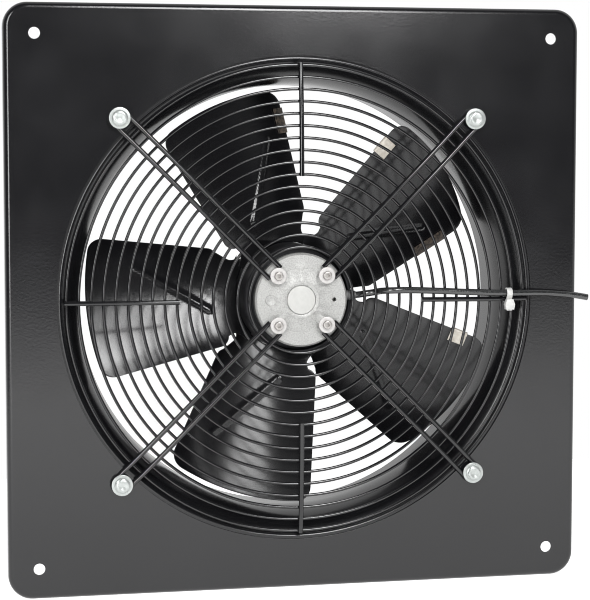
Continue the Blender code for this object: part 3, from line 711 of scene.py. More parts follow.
# The same powder on drawn wire, where it flows out smoother and shows a sharp line of light
WIRE_PAINT = Finish(
    name="wire_powder_coat", slot="wire_paint", colour="#0e0e10", tone="#121214", roughness=0.11,
    unevenness=0.03, drift_mm=25.0, relief_mm=1.6, relief_height_mm=0.008, specular=0.55,
)
# Stoved enamel on the rotor and blades: smooth, so that the wires and the studio are mirrored in it
BLADE_PAINT = Finish(
    name="stoved_black_enamel", slot="blade_paint", colour="#0d0d0f", tone="#121214",
    roughness=0.18, unevenness=0.02, drift_mm=45.0, relief_mm=3.5, relief_height_mm=0.018,
)
# Heat-proof black on the rotor can, dull so that the motor stays dark behind the wires
ROTOR_PAINT = Finish(
    name="matt_black_heat_paint", slot="blade_paint", colour="#151517", tone="#1d1d20",
    roughness=0.50, unevenness=0.05, drift_mm=20.0, relief_mm=1.2, relief_height_mm=0.03,
    specular=0.25,
)
# Bright zinc plate with a clear passivation: pale, a little cloudy, and even over the edges
ZINC = Finish(
    name="bright_zinc_plate", slot="zinc", colour="#b4b8b6", tone="#a4a8a6", roughness=0.32,
    unevenness=0.06, metallic=0.6, drift_mm=2.5, relief_mm=0.7, relief_height_mm=0.010,
)
# Die-cast aluminium, blasted: light grey and matt, with a grain of about a millimetre
CASTING = Finish(
    name="blasted_die_cast_aluminium", slot="casting", colour="#a7a7a5", tone="#949492",
    roughness=0.52, unevenness=0.08, metallic=0.55, drift_mm=1.1, relief_mm=0.8,
    relief_height_mm=0.05, relief_detail=4.0, contrast=1.6,
)
# Moulded polyamide plug over the bearing: off-white, dull, faintly mottled
CAP_WHITE = Finish(
    name="moulded_off_white_polyamide", slot="cap_white", colour="#b7b7b4", tone="#aeaeab",
    roughness=0.45, unevenness=0.05, drift_mm=4.0, relief_mm=0.6, relief_height_mm=0.008,
)
# Plain washers under the motor screws: the same plate gone dull, with a warm cast
WASHER_PLATE = Finish(
    name="dull_zinc_washer", slot="zinc", colour="#bbb9b8", tone="#adaaa8", roughness=0.46,
    unevenness=0.06, metallic=0.4, drift_mm=2.0, relief_mm=0.6, relief_height_mm=0.010,
)
# Socket screws in pale plate, with the dark of the socket and of the edge left by shadow
SCREW_PLATE = Finish(
    name="pale_plated_screw", slot="steel", colour="#b2afac", tone="#8f8b88", roughness=0.34,
    unevenness=0.06, metallic=0.85, drift_mm=1.2, relief_mm=0.5, relief_height_mm=0.008,
)
# Machined and hardened steel: grey, with fine tool marks
STEEL = Finish(
    name="machined_steel", slot="steel", colour="#b9b8b6", tone="#9d9c9b", roughness=0.34,
    unevenness=0.08, metallic=1.0, drift_mm=1.5, relief_mm=0.5, relief_height_mm=0.008,
)
# Stack of half-millimetre electrical sheets, drawn almost black
LAMINATION = LayeredFinish(
    name="stacked_electrical_sheet", slot="lamination", colour="#1c1c1f", tone="#2a2b2e",
    roughness=0.50, unevenness=0.08, metallic=0.3, drift_mm=6.0, relief_mm=0.5,
    relief_height_mm=0.10, layer_mm=0.5,
)
# Enamelled copper wire of 0.8 mm, laid side by side and soaked in dark varnish
COPPER = LayeredFinish(
    name="varnished_copper_winding", slot="copper", colour="#4a2c1a", tone="#2f1d14",
    roughness=0.34, unevenness=0.06, metallic=0.3, drift_mm=5.0, relief_mm=0.8,
    relief_height_mm=0.25, layer_mm=0.8,
)
# Spring steel strip with a yellow passivation that has gone dull
CLIP_METAL = Finish(
    name="passivated_spring_strip", slot="clip", colour="#cdc8bf", tone="#b5ada2", roughness=0.45,
    unevenness=0.08, metallic=0.25, drift_mm=3.0, relief_mm=0.8, relief_height_mm=0.012,
    contrast=1.3,
)
# The same strip where paint overspray and dirt lie on it in brown blotches
CLIP_STAINED = Finish(
    name="stained_spring_strip", slot="clip", colour="#1f1c1a", tone="#5a5046", roughness=0.46,
    unevenness=0.08, metallic=0.3, drift_mm=2.2, relief_mm=0.8, relief_height_mm=0.012, contrast=2.2,
)
# Rubber flex: black, dull, with a fine pebbled skin that sparkles on its upper side
RUBBER = Finish(
    name="black_rubber_flex", slot="rubber", colour="#18191a", tone="#262727", roughness=0.22,
    unevenness=0.08, drift_mm=1.4, relief_mm=1.3, relief_height_mm=0.09, specular=0.9,
)
# The sleeve over the flex where it leaves the motor: a greyer rubber
GREY_RUBBER = Finish(
    name="grey_rubber_sleeve", slot="rubber", colour="#565656", tone="#444444", roughness=0.48,
    unevenness=0.06, drift_mm=2.0, relief_mm=0.9, relief_height_mm=0.04,
)
# Moulded natural nylon: white, slightly waxy
NYLON = Finish(
    name="moulded_white_nylon", slot="nylon", colour="#c6c6c4", tone="#babab8", roughness=0.38,
    unevenness=0.05, drift_mm=5.0, relief_mm=0.7, relief_height_mm=0.008,
)


def fit(item: Piece, body: Body, finish: Finish, *nodes: str) -> None:
    """Dress a finished piece, and hang it on its body in place of its CAD nodes.

    Args:
        item: the piece.
        body: the body it rides on.
        finish: its finish.
        nodes: the CAD nodes it stands for.
    """
    item.data.materials.clear()
    item.data.materials.append(finish.material())
    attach(item, body.value)
    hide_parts(*nodes)
    log.info("%s stands for %s", item.name, ", ".join(nodes))


def dress(nodes: dict[str, Piece], finish: Finish, *names: str) -> None:
    """Give CAD nodes that stay in view a finish.

    Args:
        nodes: the CAD nodes by name.
        finish: the finish.
        names: the nodes to dress.
    """
    for name in names:
        for holder in nodes[name].material_slots:
            holder.material = finish.material()
        log.info("%s keeps its CAD shape", name)


def middle_of(node: str) -> Vector:
    """Return the middle of a CAD node's box."""
    low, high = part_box(node)
    return (low + high) / 2


def seat_of(node: str) -> Vector:
    """Return where a CAD node's middle lies in the plane of the plate."""
    middle = middle_of(node)
    return Vector((middle.x, 0.0, middle.z))


def hang_copy(
    pattern: Piece, prefix: str, finish: Finish, node: str, seat: Vector, spin: float = 0.0
) -> None:
    """Copy a fastener to its seat and fit it in place of its CAD node.

    Args:
        pattern: the fastener, made on the axis.
        prefix: what the copy's name has before the node's.
        finish: its finish.
        node: the CAD node it stands for.
        seat: where it goes.
        spin: how far it turns, in degrees.
    """
    copy = copy_to(pattern, f"{prefix}_{node}", seat, spin)
    smooth(copy)
    fit(copy, Body.FRAME, finish, node)


def turn_washer(node: str, bore: float, rounding: float) -> Piece:
    """Turn a washer with rolled edges.

    Args:
        node: the CAD node that gives its size.
        bore: radius of its hole.
        rounding: radius of its edges.

    Returns:
        The washer, on the axis.
    """
    low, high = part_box(node)
    outer = (high.x - low.x) / 2
    section = [(bore, low.y), (outer, low.y), (outer, high.y), (bore, high.y)]
    washer = turn("washer_pattern", section, WASHER_FACETS, closed=True)
    round_edges(washer, rounding, segments=WASHER_SEGMENTS)
    return washer


@dataclass
class WallPlate:
    """The pressed wall plate with its turned-back rim, and the spun inlet ring behind its opening."""

    corner: float = 0.020
    bend: float = 0.005
    sheet: float = 0.0015
    opening: float = 0.2015
    inlet_curve: float = 0.0225
    inlet_depth: float = 0.0448
    fixing_half: float = 0.2175
    fixing_hole: float = 0.0095
    bolt_hole: float = 0.0066
    edge_round: float = 0.0005
    bead_radius: float = 0.1987
    bead_half_width: float = 0.0011
    bead_height: float = 0.0006
    facets: int = 192
    hole_facets: int = 32
    corner_segments: int = 12
    bend_segments: int = 7
    curve_steps: int = 56
    ring_round_angle: float = 50.0

    def build(self) -> None:
        """Build the plate and the ring."""
        fit(self.plate(), Body.FRAME, PLATE_PAINT, "wall_plate")
        fit(self.ring(), Body.FRAME, RING_PAINT, "inlet_ring")

    def plate(self) -> Piece:
        """Press the plate from a box, give it its wall, and cut the opening and the holes.

        Returns:
            The plate.
        """
        low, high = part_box("wall_plate")
        plate = block("pressed_wall_plate", high - low, (low + high) / 2)
        front = low.y

        def punch(radius: float, facets: int, place: Vector = Vector()) -> None:
            """Cut a round hole through the plate's face."""
            drill(plate, radius, front - self.sheet, front + 2 * self.sheet, facets, place)

        with editing(plate, Picks.FACES):
            pick(plate, Picks.FACES, lambda face: face.normal.y > FACING)
            bpy.ops.mesh.delete(type="FACE")
            pick(
                plate, Picks.EDGES,
                lambda edge: abs(edge.verts[0].co.y - edge.verts[1].co.y) > self.bend,
            )
            bpy.ops.mesh.bevel(offset=self.corner, segments=self.corner_segments, affect="EDGES")
            pick(plate, Picks.EDGES, lambda edge: all(vert.co.y < front + TOUCH for vert in edge.verts))
            bpy.ops.mesh.bevel(offset=self.bend, segments=self.bend_segments, affect="EDGES")
        heal(plate)
        modify(plate, "SOLIDIFY", thickness=self.sheet, offset=-1.0, use_even_offset=True)
        punch(self.opening, self.facets)
        bolt_place = abs(middle_of("guard_bolt_top_left").x)
        for half, width in ((self.fixing_half, self.fixing_hole), (bolt_place, self.bolt_hole)):
            for x, z in ((-half, half), (half, half), (half, -half), (-half, -half)):
                punch(width / 2, self.hole_facets, Vector((x, 0.0, z)))
        soften(plate, self.edge_round, SHEET_ROUND_ANGLE)
        modify(plate, "WEIGHTED_NORMAL", keep_sharp=True)
        return plate

    def ring(self) -> Piece:
        """Spin the ring from its lap, over a small bead and the inlet curve, to the throat's end.

        Returns:
            The ring.
        """
        low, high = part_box("inlet_ring")
        profile = [(high.x, low.y)]
        profile += [(radius, depth - self.bead(radius)) for radius, depth in self.curve(0.0, low.y)]
        throat = self.opening - self.inlet_curve
        end = high.y - self.sheet
        profile += [(throat, end), (throat, high.y)]
        profile += [(throat + self.sheet, high.y), (throat + self.sheet, end)]
        profile += reversed(self.curve(self.sheet, low.y))
        profile.append((high.x, low.y + self.sheet))
        ring = turn("spun_inlet_ring", profile, self.facets, closed=True)
        return soften(ring, self.edge_round, self.ring_round_angle)

    def curve(self, inward: float, front: float) -> Profile:
        """Return the elliptical inlet curve from the plate to the throat.

        Args:
            inward: how far the curve lies behind the ring's face.
            front: the y of the face where the curve starts.

        Returns:
            Points of (radius, y).
        """
        across = self.inlet_curve - inward
        along = self.inlet_depth - inward
        points = []
        for share in shares(self.curve_steps):
            angle = math.pi / 2 * share
            depth = front + self.inlet_depth - along * math.cos(angle)
            points.append((self.opening - across * math.sin(angle), depth))
        return points

    def bead(self, radius: float) -> float:
        """Return how far the bead stands proud at a radius."""
        share = abs(radius - self.bead_radius) / self.bead_half_width
        return self.bead_height * math.cos(min(share, 1.0) * math.pi / 2) ** 2


@dataclass
class WireGuard:
    """The welded guard: rings behind four hairpin legs and four short spokes."""

    ring_wire: float = 0.0025
    ring_pitch: float = 0.010
    outer_ring: float = 0.194
    ring_count: int = 16
    leg_wire: float = 0.004
    leg_spread: float = 0.013
    leg_start: float = 0.032
    rise: float = 0.0092
    dish: float = 5.0
    seat_depth: float = -0.0023
    seat_edge: float = 0.2025
    ring_sink: float = 0.0003
    spoke_length: float = 0.093
    spoke_overrun: float = 0.0015
    spoke_angles: tuple[float, ...] = (90.0, 180.0, 270.0, 359.4)
    weld_half: float = 0.0014
    ring_facets: int = 144
    wire_facets: int = 10
    leg_steps: int = 30
    loop_steps: int = 20
    spoke_steps: int = 12
    smooth_angle: float = 60.0

    def depth(self, radius: float) -> float:
        """Return the y of a leg wire's middle: dished in front of the throat, flat on the plate."""
        share = min(1.0, radius / self.seat_edge)
        return -self.rise + (self.seat_depth + self.rise) * share**self.dish

    def ring_radii(self) -> list[float]:
        """Return the radius of every ring, from the outside in."""
        return [self.outer_ring - number * self.ring_pitch for number in range(self.ring_count)]

    def ring_depth(self, radius: float) -> float:
        """Return the y of a ring's middle, just behind the legs."""
        flat_half = self.ring_wire * math.sqrt(math.pi) / 4
        return self.depth(radius) + self.leg_wire / 2 + flat_half - self.ring_sink

    def build(self) -> None:
        """Build the rings, legs, spokes and welds as one piece."""
        half = self.leg_wire / 2
        wires = [self.ring(radius) for radius in self.ring_radii()]
        wires += [wire("leg", self.leg(heading(degrees)), half) for degrees in LEG_ANGLES]
        wires += [wire("spoke", self.spoke(degrees), half) for degrees in self.spoke_angles]
        wires.append(self.welds())
        guard = join("welded_wire_guard", wires)
        smooth(guard, self.smooth_angle)
        fit(guard, Body.FRAME, WIRE_PAINT, "wire_guard")

    def ring(self, radius: float) -> Piece:
        """Bend one ring.

        Args:
            radius: the ring's radius, to the middle of its wire.

        Returns:
            The ring.
        """
        return add(
            "ring", bpy.ops.mesh.primitive_torus_add, rotation=LIE_ALONG_Y,
            location=(0.0, self.ring_depth(radius), 0.0), major_radius=radius,
            minor_radius=self.ring_wire / 2, major_segments=self.ring_facets,
            minor_segments=self.wire_facets,
        )

    def leg(self, direction: Vector) -> list[Vector]:
        """Return the run of one hairpin: out from the motor, round the bolt and back.

        Args:
            direction: the way it points.

        Returns:
            Its points.
        """
        across = direction.cross(AXIS)
        half = self.leg_spread / 2
        out, loop, back = [], [], []
        for share in shares(self.leg_steps):
            radius = self.leg_start + (self.seat_edge - self.leg_start) * share
            middle = direction * radius + AXIS * self.depth(radius)
            out.append(middle + across * half)
            back.append(middle - across * half)
        bolt = middle_of("guard_bolt_top_left")
        bolt_circle = math.hypot(bolt.x, bolt.z)
        for share in shares(self.loop_steps):
            angle = math.pi * share
            radial = direction * (bolt_circle + half * math.sin(angle)) + AXIS * self.seat_depth
            loop.append(radial + across * (half * math.cos(angle)))
        return out + loop + back[::-1]

    def spoke(self, degrees: float) -> list[Vector]:
        """Return the run of one short spoke, from the outermost ring inwards.

        Args:
            degrees: the way it points.

        Returns:
            Its points.
        """
        start = self.outer_ring + self.spoke_overrun
        radii = [start - self.spoke_length * share for share in shares(self.spoke_steps)]
        return [heading(degrees) * radius + AXIS * self.depth(radius) for radius in radii]

    def welds(self) -> Piece:
        """Set a small bead of run-out coating at every crossing of a ring with a leg or a spoke.

        Returns:
            The welds, as one object.
        """
        half = self.leg_spread / 2
        spots = []
        for radius in self.ring_radii():
            between = AXIS * (self.depth(radius) + self.leg_wire / 2 - self.ring_sink)
            along = math.sqrt(radius**2 - half**2)
            for degrees in LEG_ANGLES:
                direction = heading(degrees)
                across = direction.cross(AXIS) * half
                spots += [direction * along + across * side + between for side in (-1.0, 1.0)]
            if radius > self.outer_ring - self.spoke_length:
                spots += [heading(degrees) * radius + between for degrees in self.spoke_angles]
        ball = {"subdivisions": 2, "radius": self.weld_half}
        welds = add("welds", bpy.ops.mesh.primitive_ico_sphere_add, location=spots[0], **ball)
        with editing(welds, Picks.VERTS):
            for spot in spots[1:]:
                bpy.ops.mesh.primitive_ico_sphere_add(location=spot, **ball)
        return welds


@dataclass
class GuardFasteners:
    """The flange bolts, washers and nuts that hold the legs to the plate."""

    flats: float = 0.010
    collar: float = 0.0064
    collar_height: float = 0.0009
    head: float = 0.004
    recess: float = 0.0007
    recess_rim: float = 0.0016
    shank: float = 0.003
    thread_pitch: float = 0.001
    thread_depth: float = 0.0004
    chamfer_height: float = 0.0007
    washer_round: float = 0.0004
    face_share: float = 0.95
    barrel_share: float = 1.02
    cup_share: float = 0.55
    collar_flare: float = 1.7
    facets: int = 48
    shank_facets: int = 32
    spins: tuple[float, ...] = (12.0, 41.0, 25.0, 53.0)

    def build(self) -> None:
        """Build one set and copy it to the four corners."""
        washer = turn_washer("guard_washer_top_left", self.shank + self.washer_round, self.washer_round)
        patterns = {"bolt": self.bolt(), "washer": washer, "nut": self.nut()}
        for corner, spin in zip(CORNERS, self.spins):
            seat = seat_of(f"guard_bolt_{corner}")
            for kind, pattern in patterns.items():
                hang_copy(pattern, "plated", ZINC, f"guard_{kind}_{corner}", seat, spin)
        discard(*patterns.values())

    def hexagon(self, name: str, front: float, rear: float) -> Piece:
        """Make a hexagon with its corners turned off at the front and the rear.

        Args:
            name: its name.
            front: y of its front.
            rear: y of its rear.

        Returns:
            The hexagon.
        """
        corner = self.flats / math.sqrt(3)
        face = self.flats / 2 * self.face_share
        wide = corner * self.barrel_share
        blank = rod(name, corner, front, rear, HEXAGON)
        begin = front + self.chamfer_height
        end = rear - self.chamfer_height
        barrel = turn("barrel", [(face, front), (wide, begin), (wide, end), (face, rear)], self.facets)
        carve(blank, barrel, "INTERSECT")
        return blank

    def thread(self, front: float, rear: float) -> Profile:
        """Return the profile of a threaded length.

        Args:
            front: y of its front.
            rear: y of its rear.

        Returns:
            Points of (radius, y).
        """
        crest = self.shank
        root = self.shank - self.thread_depth
        points = []
        depth = front
        while depth + self.thread_pitch <= rear - self.thread_depth:
            points += [(crest, depth), (root, depth + self.thread_pitch / 2)]
            depth += self.thread_pitch
        return points + [(crest, rear - self.thread_depth), (root, rear)]

    def bolt(self) -> Piece:
        """Make the bolt: hollow-topped head on a collar, plain shank and threaded tail.

        Returns:
            The bolt, on the axis.
        """
        low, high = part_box("guard_bolt_top_left")
        seat = low.y + self.head
        head = self.hexagon("head", low.y, seat - self.collar_height / 2)
        mouth = self.flats / 2 - self.recess_rim
        cup = [
            (mouth * self.cup_share, low.y + self.recess),
            (mouth, low.y - TOUCH),
            (mouth, low.y - self.recess),
        ]
        carve(head, turn("cup", cup, self.facets), "DIFFERENCE")
        collar = [
            (self.flats / 2, seat - self.collar_flare * self.collar_height),
            (self.collar - self.collar_height / 2, seat - self.collar_height),
            (self.collar, seat - self.collar_height / 2),
            (self.collar, seat),
        ]
        nut_low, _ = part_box("guard_nut_top_left")
        shank = [(self.shank, seat - self.collar_height)] + self.thread(nut_low.y, high.y)
        pieces = [head, turn("collar", collar, self.facets), turn("shank", shank, self.shank_facets)]
        return join("bolt_pattern", pieces)

    def nut(self) -> Piece:
        """Make the nut with its bore.

        Returns:
            The nut, on the axis.
        """
        low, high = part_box("guard_nut_top_left")
        nut = self.hexagon("nut_pattern", low.y, high.y)
        bore = self.shank + self.washer_round
        drill(nut, bore, low.y - self.head, high.y + self.head, self.shank_facets)
        return nut


@dataclass
class MotorFront:
    """The cast flange that the legs carry, with its cap, screws and washers."""

    cap_bore: float = 0.0123
    groove: float = 0.0133
    collar: float = 0.0153
    collar_height: float = 0.00025
    step: float = 0.0266
    step_drop: float = 0.0002
    rim_chamfer: float = 0.0015
    thickness: float = 0.009
    recess: float = 0.002
    cap_gap: float = 0.0003
    tube: float = 0.015
    tube_bore: float = 0.0113
    shoulder: float = 0.0095
    shoulder_front: float = 0.0064
    shoulder_rear: float = 0.0442
    boss: float = 0.0039
    screw_hole: float = 0.0023
    disc: float = 0.0047
    disc_place: float = -0.026
    disc_height: float = 0.0006
    disc_rim: float = 0.0007
    drain: float = 0.0018
    drain_place: float = 0.028
    drain_depth: float = 0.0075
    edge_round: float = 0.0003
    round_angle: float = 40.0
    boss_sink: float = 0.0001
    cap_crown: float = 0.0006
    cap_edge: float = 0.0010
    cap_steps: int = 10
    cap_edge_steps: int = 6
    screw_head_height: float = 0.0022
    screw_socket: float = 0.001728
    screw_socket_depth: float = 0.0020
    screw_round: float = 0.0008
    screw_flat: float = 1.6
    screw_round_start: float = -70.0
    screw_round_steps: int = 5
    screw_shank: float = 0.002
    screw_spin: float = 17.0
    washer_round: float = 0.0004
    facets: int = 96
    screw_facets: int = 48
    boss_facets: int = 40
    hole_facets: int = 24

    def build(self) -> None:
        """Build the flange, the cap, and one screw and washer for each corner."""
        fit(self.flange(), Body.FRAME, CASTING, "motor_flange")
        fit(self.cap(), Body.FRAME, CAP_WHITE, "bearing_cap")
        screw = self.screw()
        washer = turn_washer("motor_washer_top_left", self.screw_hole, self.washer_round)
        for number, corner in enumerate(CORNERS):
            node = f"motor_screw_{corner}"
            seat = seat_of(node)
            hang_copy(screw, "socket", SCREW_PLATE, node, seat, self.screw_spin * number)
            hang_copy(washer, "plated", WASHER_PLATE, f"motor_washer_{corner}", seat)
        discard(screw, washer)

    def flange(self) -> Piece:
        """Turn the flange with its bearing tube, add the bosses and the disc, and cut the holes.

        Returns:
            The flange.
        """
        low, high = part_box("motor_flange")
        rim = -low.x
        bolt_front = low.y
        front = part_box("bearing_cap")[1].y + self.cap_gap - self.recess
        rear = front + self.thickness
        floor = front + self.recess
        outside = front + self.step_drop
        profile = [
            (self.tube_bore, floor),
            (self.cap_bore, floor),
            (self.cap_bore, front + self.collar_height),
            (self.groove, front - self.collar_height),
            (self.collar, front - self.collar_height),
            (self.collar + self.collar_height, front),
            (self.step, front),
            (self.step + self.step_drop, outside),
            (rim - self.rim_chamfer, outside),
            (rim, outside + self.rim_chamfer),
            (rim, rear),
            (self.tube + self.rim_chamfer, rear),
            (self.tube, rear + self.rim_chamfer),
            (self.tube, high.y),
            (self.tube_bore, high.y),
            (self.tube_bore, self.shoulder_rear),
            (self.shoulder, self.shoulder_rear),
            (self.shoulder, self.shoulder_front),
            (self.tube_bore, self.shoulder_front),
        ]
        flange = turn("cast_motor_flange", profile, self.facets, closed=True)
        seats = [seat_of(f"motor_screw_{corner}") for corner in CORNERS]
        boss = [
            (self.boss + self.rim_chamfer, front + self.boss_sink),
            (self.boss, front - self.rim_chamfer / 2),
            (self.boss, bolt_front),
        ]
        disc_front = front - self.disc_height
        disc = [
            (self.disc - 2 * self.disc_rim, disc_front + self.disc_height / 2),
            (self.disc - self.disc_rim, disc_front),
            (self.disc - self.disc_rim / 2, disc_front),
            (self.disc, front + self.disc_height),
        ]
        raised = [(boss, seat) for seat in seats] + [(disc, Vector((self.disc_place, 0.0, 0.0)))]
        for section, place in raised:
            pad = turn("pad", section, self.boss_facets)
            pad.location = place
            carve(flange, settle(pad, "pad"), "UNION")
        drain = Vector((self.drain_place, 0.0, 0.0))
        depths = (bolt_front - self.recess, rear + self.recess)
        holes = [(self.screw_hole, *depths, seat) for seat in seats]
        holes.append((self.drain, front - self.recess, front + self.drain_depth, drain))
        for radius, begin, end, place in holes:
            drill(flange, radius, begin, end, self.hole_facets, place)
        seat_low, seat_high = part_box("cable_grommet")
        margin = Vector((self.edge_round, self.edge_round, self.edge_round))
        notch_low = seat_low - margin
        notch_high = seat_high + margin
        notch = block("notch", notch_high - notch_low, (notch_low + notch_high) / 2)
        carve(flange, notch, "DIFFERENCE")
        return soften(flange, self.edge_round, self.round_angle)

    def cap(self) -> Piece:
        """Turn the crowned cap with a rounded edge.

        Returns:
            The cap.
        """
        low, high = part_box("bearing_cap")
        radius = high.x
        level = radius - self.cap_edge
        flat = low.y + self.cap_crown
        profile = []
        for step in range(1, self.cap_steps + 1):
            share = step / self.cap_steps
            profile.append((level * share, flat - self.cap_crown * (1 - share * share)))
        centre = (level, flat + self.cap_edge)
        profile += arc(centre, self.cap_edge, -90.0, 0.0, self.cap_edge_steps)[1:]
        profile += [(radius, high.y), (level / self.cap_steps, high.y)]
        cap = turn("moulded_bearing_cap", profile, self.facets)
        smooth(cap)
        return cap

    def screw(self) -> Piece:
        """Turn the screw with a domed head and sink its hexagon socket.

        Returns:
            The screw, on the axis.
        """
        low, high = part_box("motor_screw_top_left")
        head = (high.x - low.x) / 2
        seat = low.y + self.screw_head_height
        centre = (head - self.screw_round, low.y + self.screw_round)
        profile = [(head - self.screw_round * self.screw_flat, low.y)]
        profile += arc(centre, self.screw_round, self.screw_round_start, 0.0, self.screw_round_steps)
        profile += [(head, seat), (self.screw_shank, seat), (self.screw_shank, high.y)]
        screw = turn("screw_pattern", profile, self.screw_facets)
        socket_end = low.y + self.screw_socket_depth
        drill(screw, self.screw_socket, low.y - self.recess, socket_end, HEXAGON)
        return screw


class Side(Enum):
    """An edge of a blade, by the way it lies from the blade's middle."""

    LEADING = 1
    TRAILING = -1


@dataclass(frozen=True)
class ClipSpot:
    """Where one balance clip sits: its blade, its edge, and how far its middle is from the tip."""

    blade: int
    side: Side
    from_tip: float
    length: float
    finish: Finish


CLIP_SPOTS = (
    ClipSpot(blade=0, side=Side.TRAILING, from_tip=0.0355, length=0.022, finish=CLIP_STAINED),
    ClipSpot(blade=3, side=Side.LEADING, from_tip=0.0335, length=0.0145, finish=CLIP_METAL),
    ClipSpot(blade=4, side=Side.LEADING, from_tip=0.0336, length=0.0155, finish=CLIP_METAL),
    ClipSpot(blade=4, side=Side.TRAILING, from_tip=0.047, length=0.031, finish=CLIP_STAINED),
)


@dataclass
class Impeller:
    """The rotor can, the five pressed blades and the balance clips on their edges."""

    hub_hole: float = 0.0043
    hub: float = 0.009
    hub_front: float = 0.0544
    wall: float = 0.0025
    rear_round: float = 0.005
    rear_end: float = 0.004
    groove_inner: float = 0.026
    groove_outer: float = 0.038
    groove_depth: float = 0.0008
    edge_round: float = 0.0004
    blade_count: int = 5
    first_angle: float = 112.0
    sheet: float = 0.0015
    leading_offset: float = 0.0255
    leading_angle: float = 10.1
    trailing_offset: float = 0.0335
    trailing_angle: float = 9.5
    root_line: float = 0.0565
    tip_radius: float = 0.1735
    root_pitch: float = 23.0
    tip_pitch: float = 25.0
    camber: float = 0.008
    blade_depth: float = 0.0456
    tip_corner: float = 0.011
    root_corner: float = 0.007
    neck_trailing_angle: float = 35.0
    neck_leading_angle: float = 27.0
    neck_bottom: float = 0.0530
    neck_round: float = 0.0070
    neck_rows: int = 24
    neck_dip: float = 0.0030
    neck_bend: float = 0.075
    foot_radius: float = 0.0464
    trailing_spread: float = 1.19
    leading_spread: float = 1.40
    foot_width: float = 0.008
    foot_limit: float = 0.0587
    bead_root: tuple[float, float] = (0.0056, 0.0705)
    bead_tip: tuple[float, float] = (-0.0340, 0.1293)
    bead_half_width: float = 0.0035
    bead_flat: float = 0.0004
    bead_height: float = 0.0016
    clip_sheet: float = 0.0009
    clip_reach: float = 0.0105
    clip_gap: float = 0.0005
    clip_fold: float = 0.9
    clip_straight: float = 0.6
    clip_steps: int = 12
    clip_columns: int = 6
    columns: int = 84
    rows: int = 84
    rotor_facets: int = 96
    rotor_steps: int = 8

    def build(self) -> None:
        """Build the rotor, the blades and the clips."""
        fit(self.rotor(), Body.IMPELLER, ROTOR_PAINT, "rotor_shell")
        pattern = self.blade()
        for number in range(self.blade_count):
            spin = -360.0 * number / self.blade_count
            blade = copy_to(pattern, f"pressed_blade_{number + 1}", Vector(), spin)
            fit(blade, Body.IMPELLER, BLADE_PAINT, f"blade_{number + 1}")
        discard(pattern)
        for label, spot in enumerate(CLIP_SPOTS, start=1):
            fit(self.clip(label, spot), Body.IMPELLER, spot.finish, f"balance_clip_{label}")

    def rotor(self) -> Piece:
        """Turn the can with a rounded, stepped rear and its hub.

        Returns:
            The can.
        """
        low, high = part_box("rotor_shell")
        outer = high.x
        inside = high.y - self.rear_end
        bore = outer - self.wall
        profile = [(bore, low.y), (outer - self.wall / 2, low.y), (outer, low.y + self.wall / 2)]
        centre = (outer - self.rear_round, high.y - self.rear_round)
        profile += arc(centre, self.rear_round, 0.0, 90.0, self.rotor_steps)
        profile += [
            (self.groove_outer, high.y),
            (self.groove_outer - self.groove_depth, high.y - self.groove_depth),
            (self.groove_inner + self.groove_depth, high.y - self.groove_depth),
            (self.groove_inner, high.y),
            (self.hub_hole, high.y),
            (self.hub_hole, self.hub_front),
            (self.hub, self.hub_front),
            (self.hub, inside),
            (bore, inside),
        ]
        rotor = turn("painted_rotor_can", profile, self.rotor_facets, closed=True)
        return soften(rotor, self.edge_round)

    def leading(self, v: float) -> float:
        """Return u of the leading edge at a distance v out along the blade."""
        return self.leading_offset + math.tan(math.radians(self.leading_angle)) * v

    def trailing(self, v: float) -> float:
        """Return u of the trailing edge at a distance v out along the blade."""
        return -self.trailing_offset - math.tan(math.radians(self.trailing_angle)) * v

    def across(self, share: float, v: float) -> float:
        """Return u at a share of the way from the trailing to the leading edge."""
        return self.trailing(v) + share * (self.leading(v) - self.trailing(v))

    def axes(self, number: int) -> tuple[Vector, Vector]:
        """Return the u and v directions of a blade."""
        angle = self.first_angle + 360.0 * number / self.blade_count
        return heading(angle + 90.0), heading(angle)

    def surface(self, u: float, v: float, axes: tuple[Vector, Vector]) -> Vector:
        """Return a point of the blade's middle surface: pitched, bowed forwards, dipped at the neck.

        Args:
            u: distance across the blade, towards its leading edge.
            v: distance out along the blade.
            axes: the blade's u and v directions.

        Returns:
            The point.
        """
        share = (v - self.root_line) / (self.tip_radius - self.root_line)
        pitch = math.radians(self.root_pitch + (self.tip_pitch - self.root_pitch) * share)
        lead = self.leading(v)
        trail = self.trailing(v)
        bow = (2 * u - lead - trail) / (lead - trail)
        depth = self.blade_depth - math.tan(pitch) * u - self.camber * (1 - bow * bow)
        bent = max(0.0, self.neck_bend - math.hypot(u, v)) / (self.neck_bend - self.foot_radius)
        depth += self.neck_dip * bent * bent - self.bead(u, v)
        return axes[0] * u + axes[1] * v + Vector((0.0, depth, 0.0))

    def bead(self, u: float, v: float) -> float:
        """Return how far the stiffening bead stands out of the blade towards the front.

        Args:
            u: distance across the blade, towards its leading edge.
            v: distance out along the blade.

        Returns:
            The height.
        """
        start = Vector(self.bead_root)
        run = Vector(self.bead_tip) - start
        spot = Vector((u, v)) - start
        share = max(0.0, min(1.0, spot.dot(run) / run.length_squared))
        beside = (spot - run * share).length - self.bead_flat
        fall = max(0.0, min(1.0, beside / (self.bead_half_width - self.bead_flat)))
        return self.bead_height * math.cos(fall * math.pi / 2) ** 2

    def corner_drop(self, distance: float, radius: float) -> float:
        """Return how far a rounded corner falls back at a distance from the side."""
        inside = max(0.0, radius - distance)
        return radius - math.sqrt(radius * radius - inside * inside)

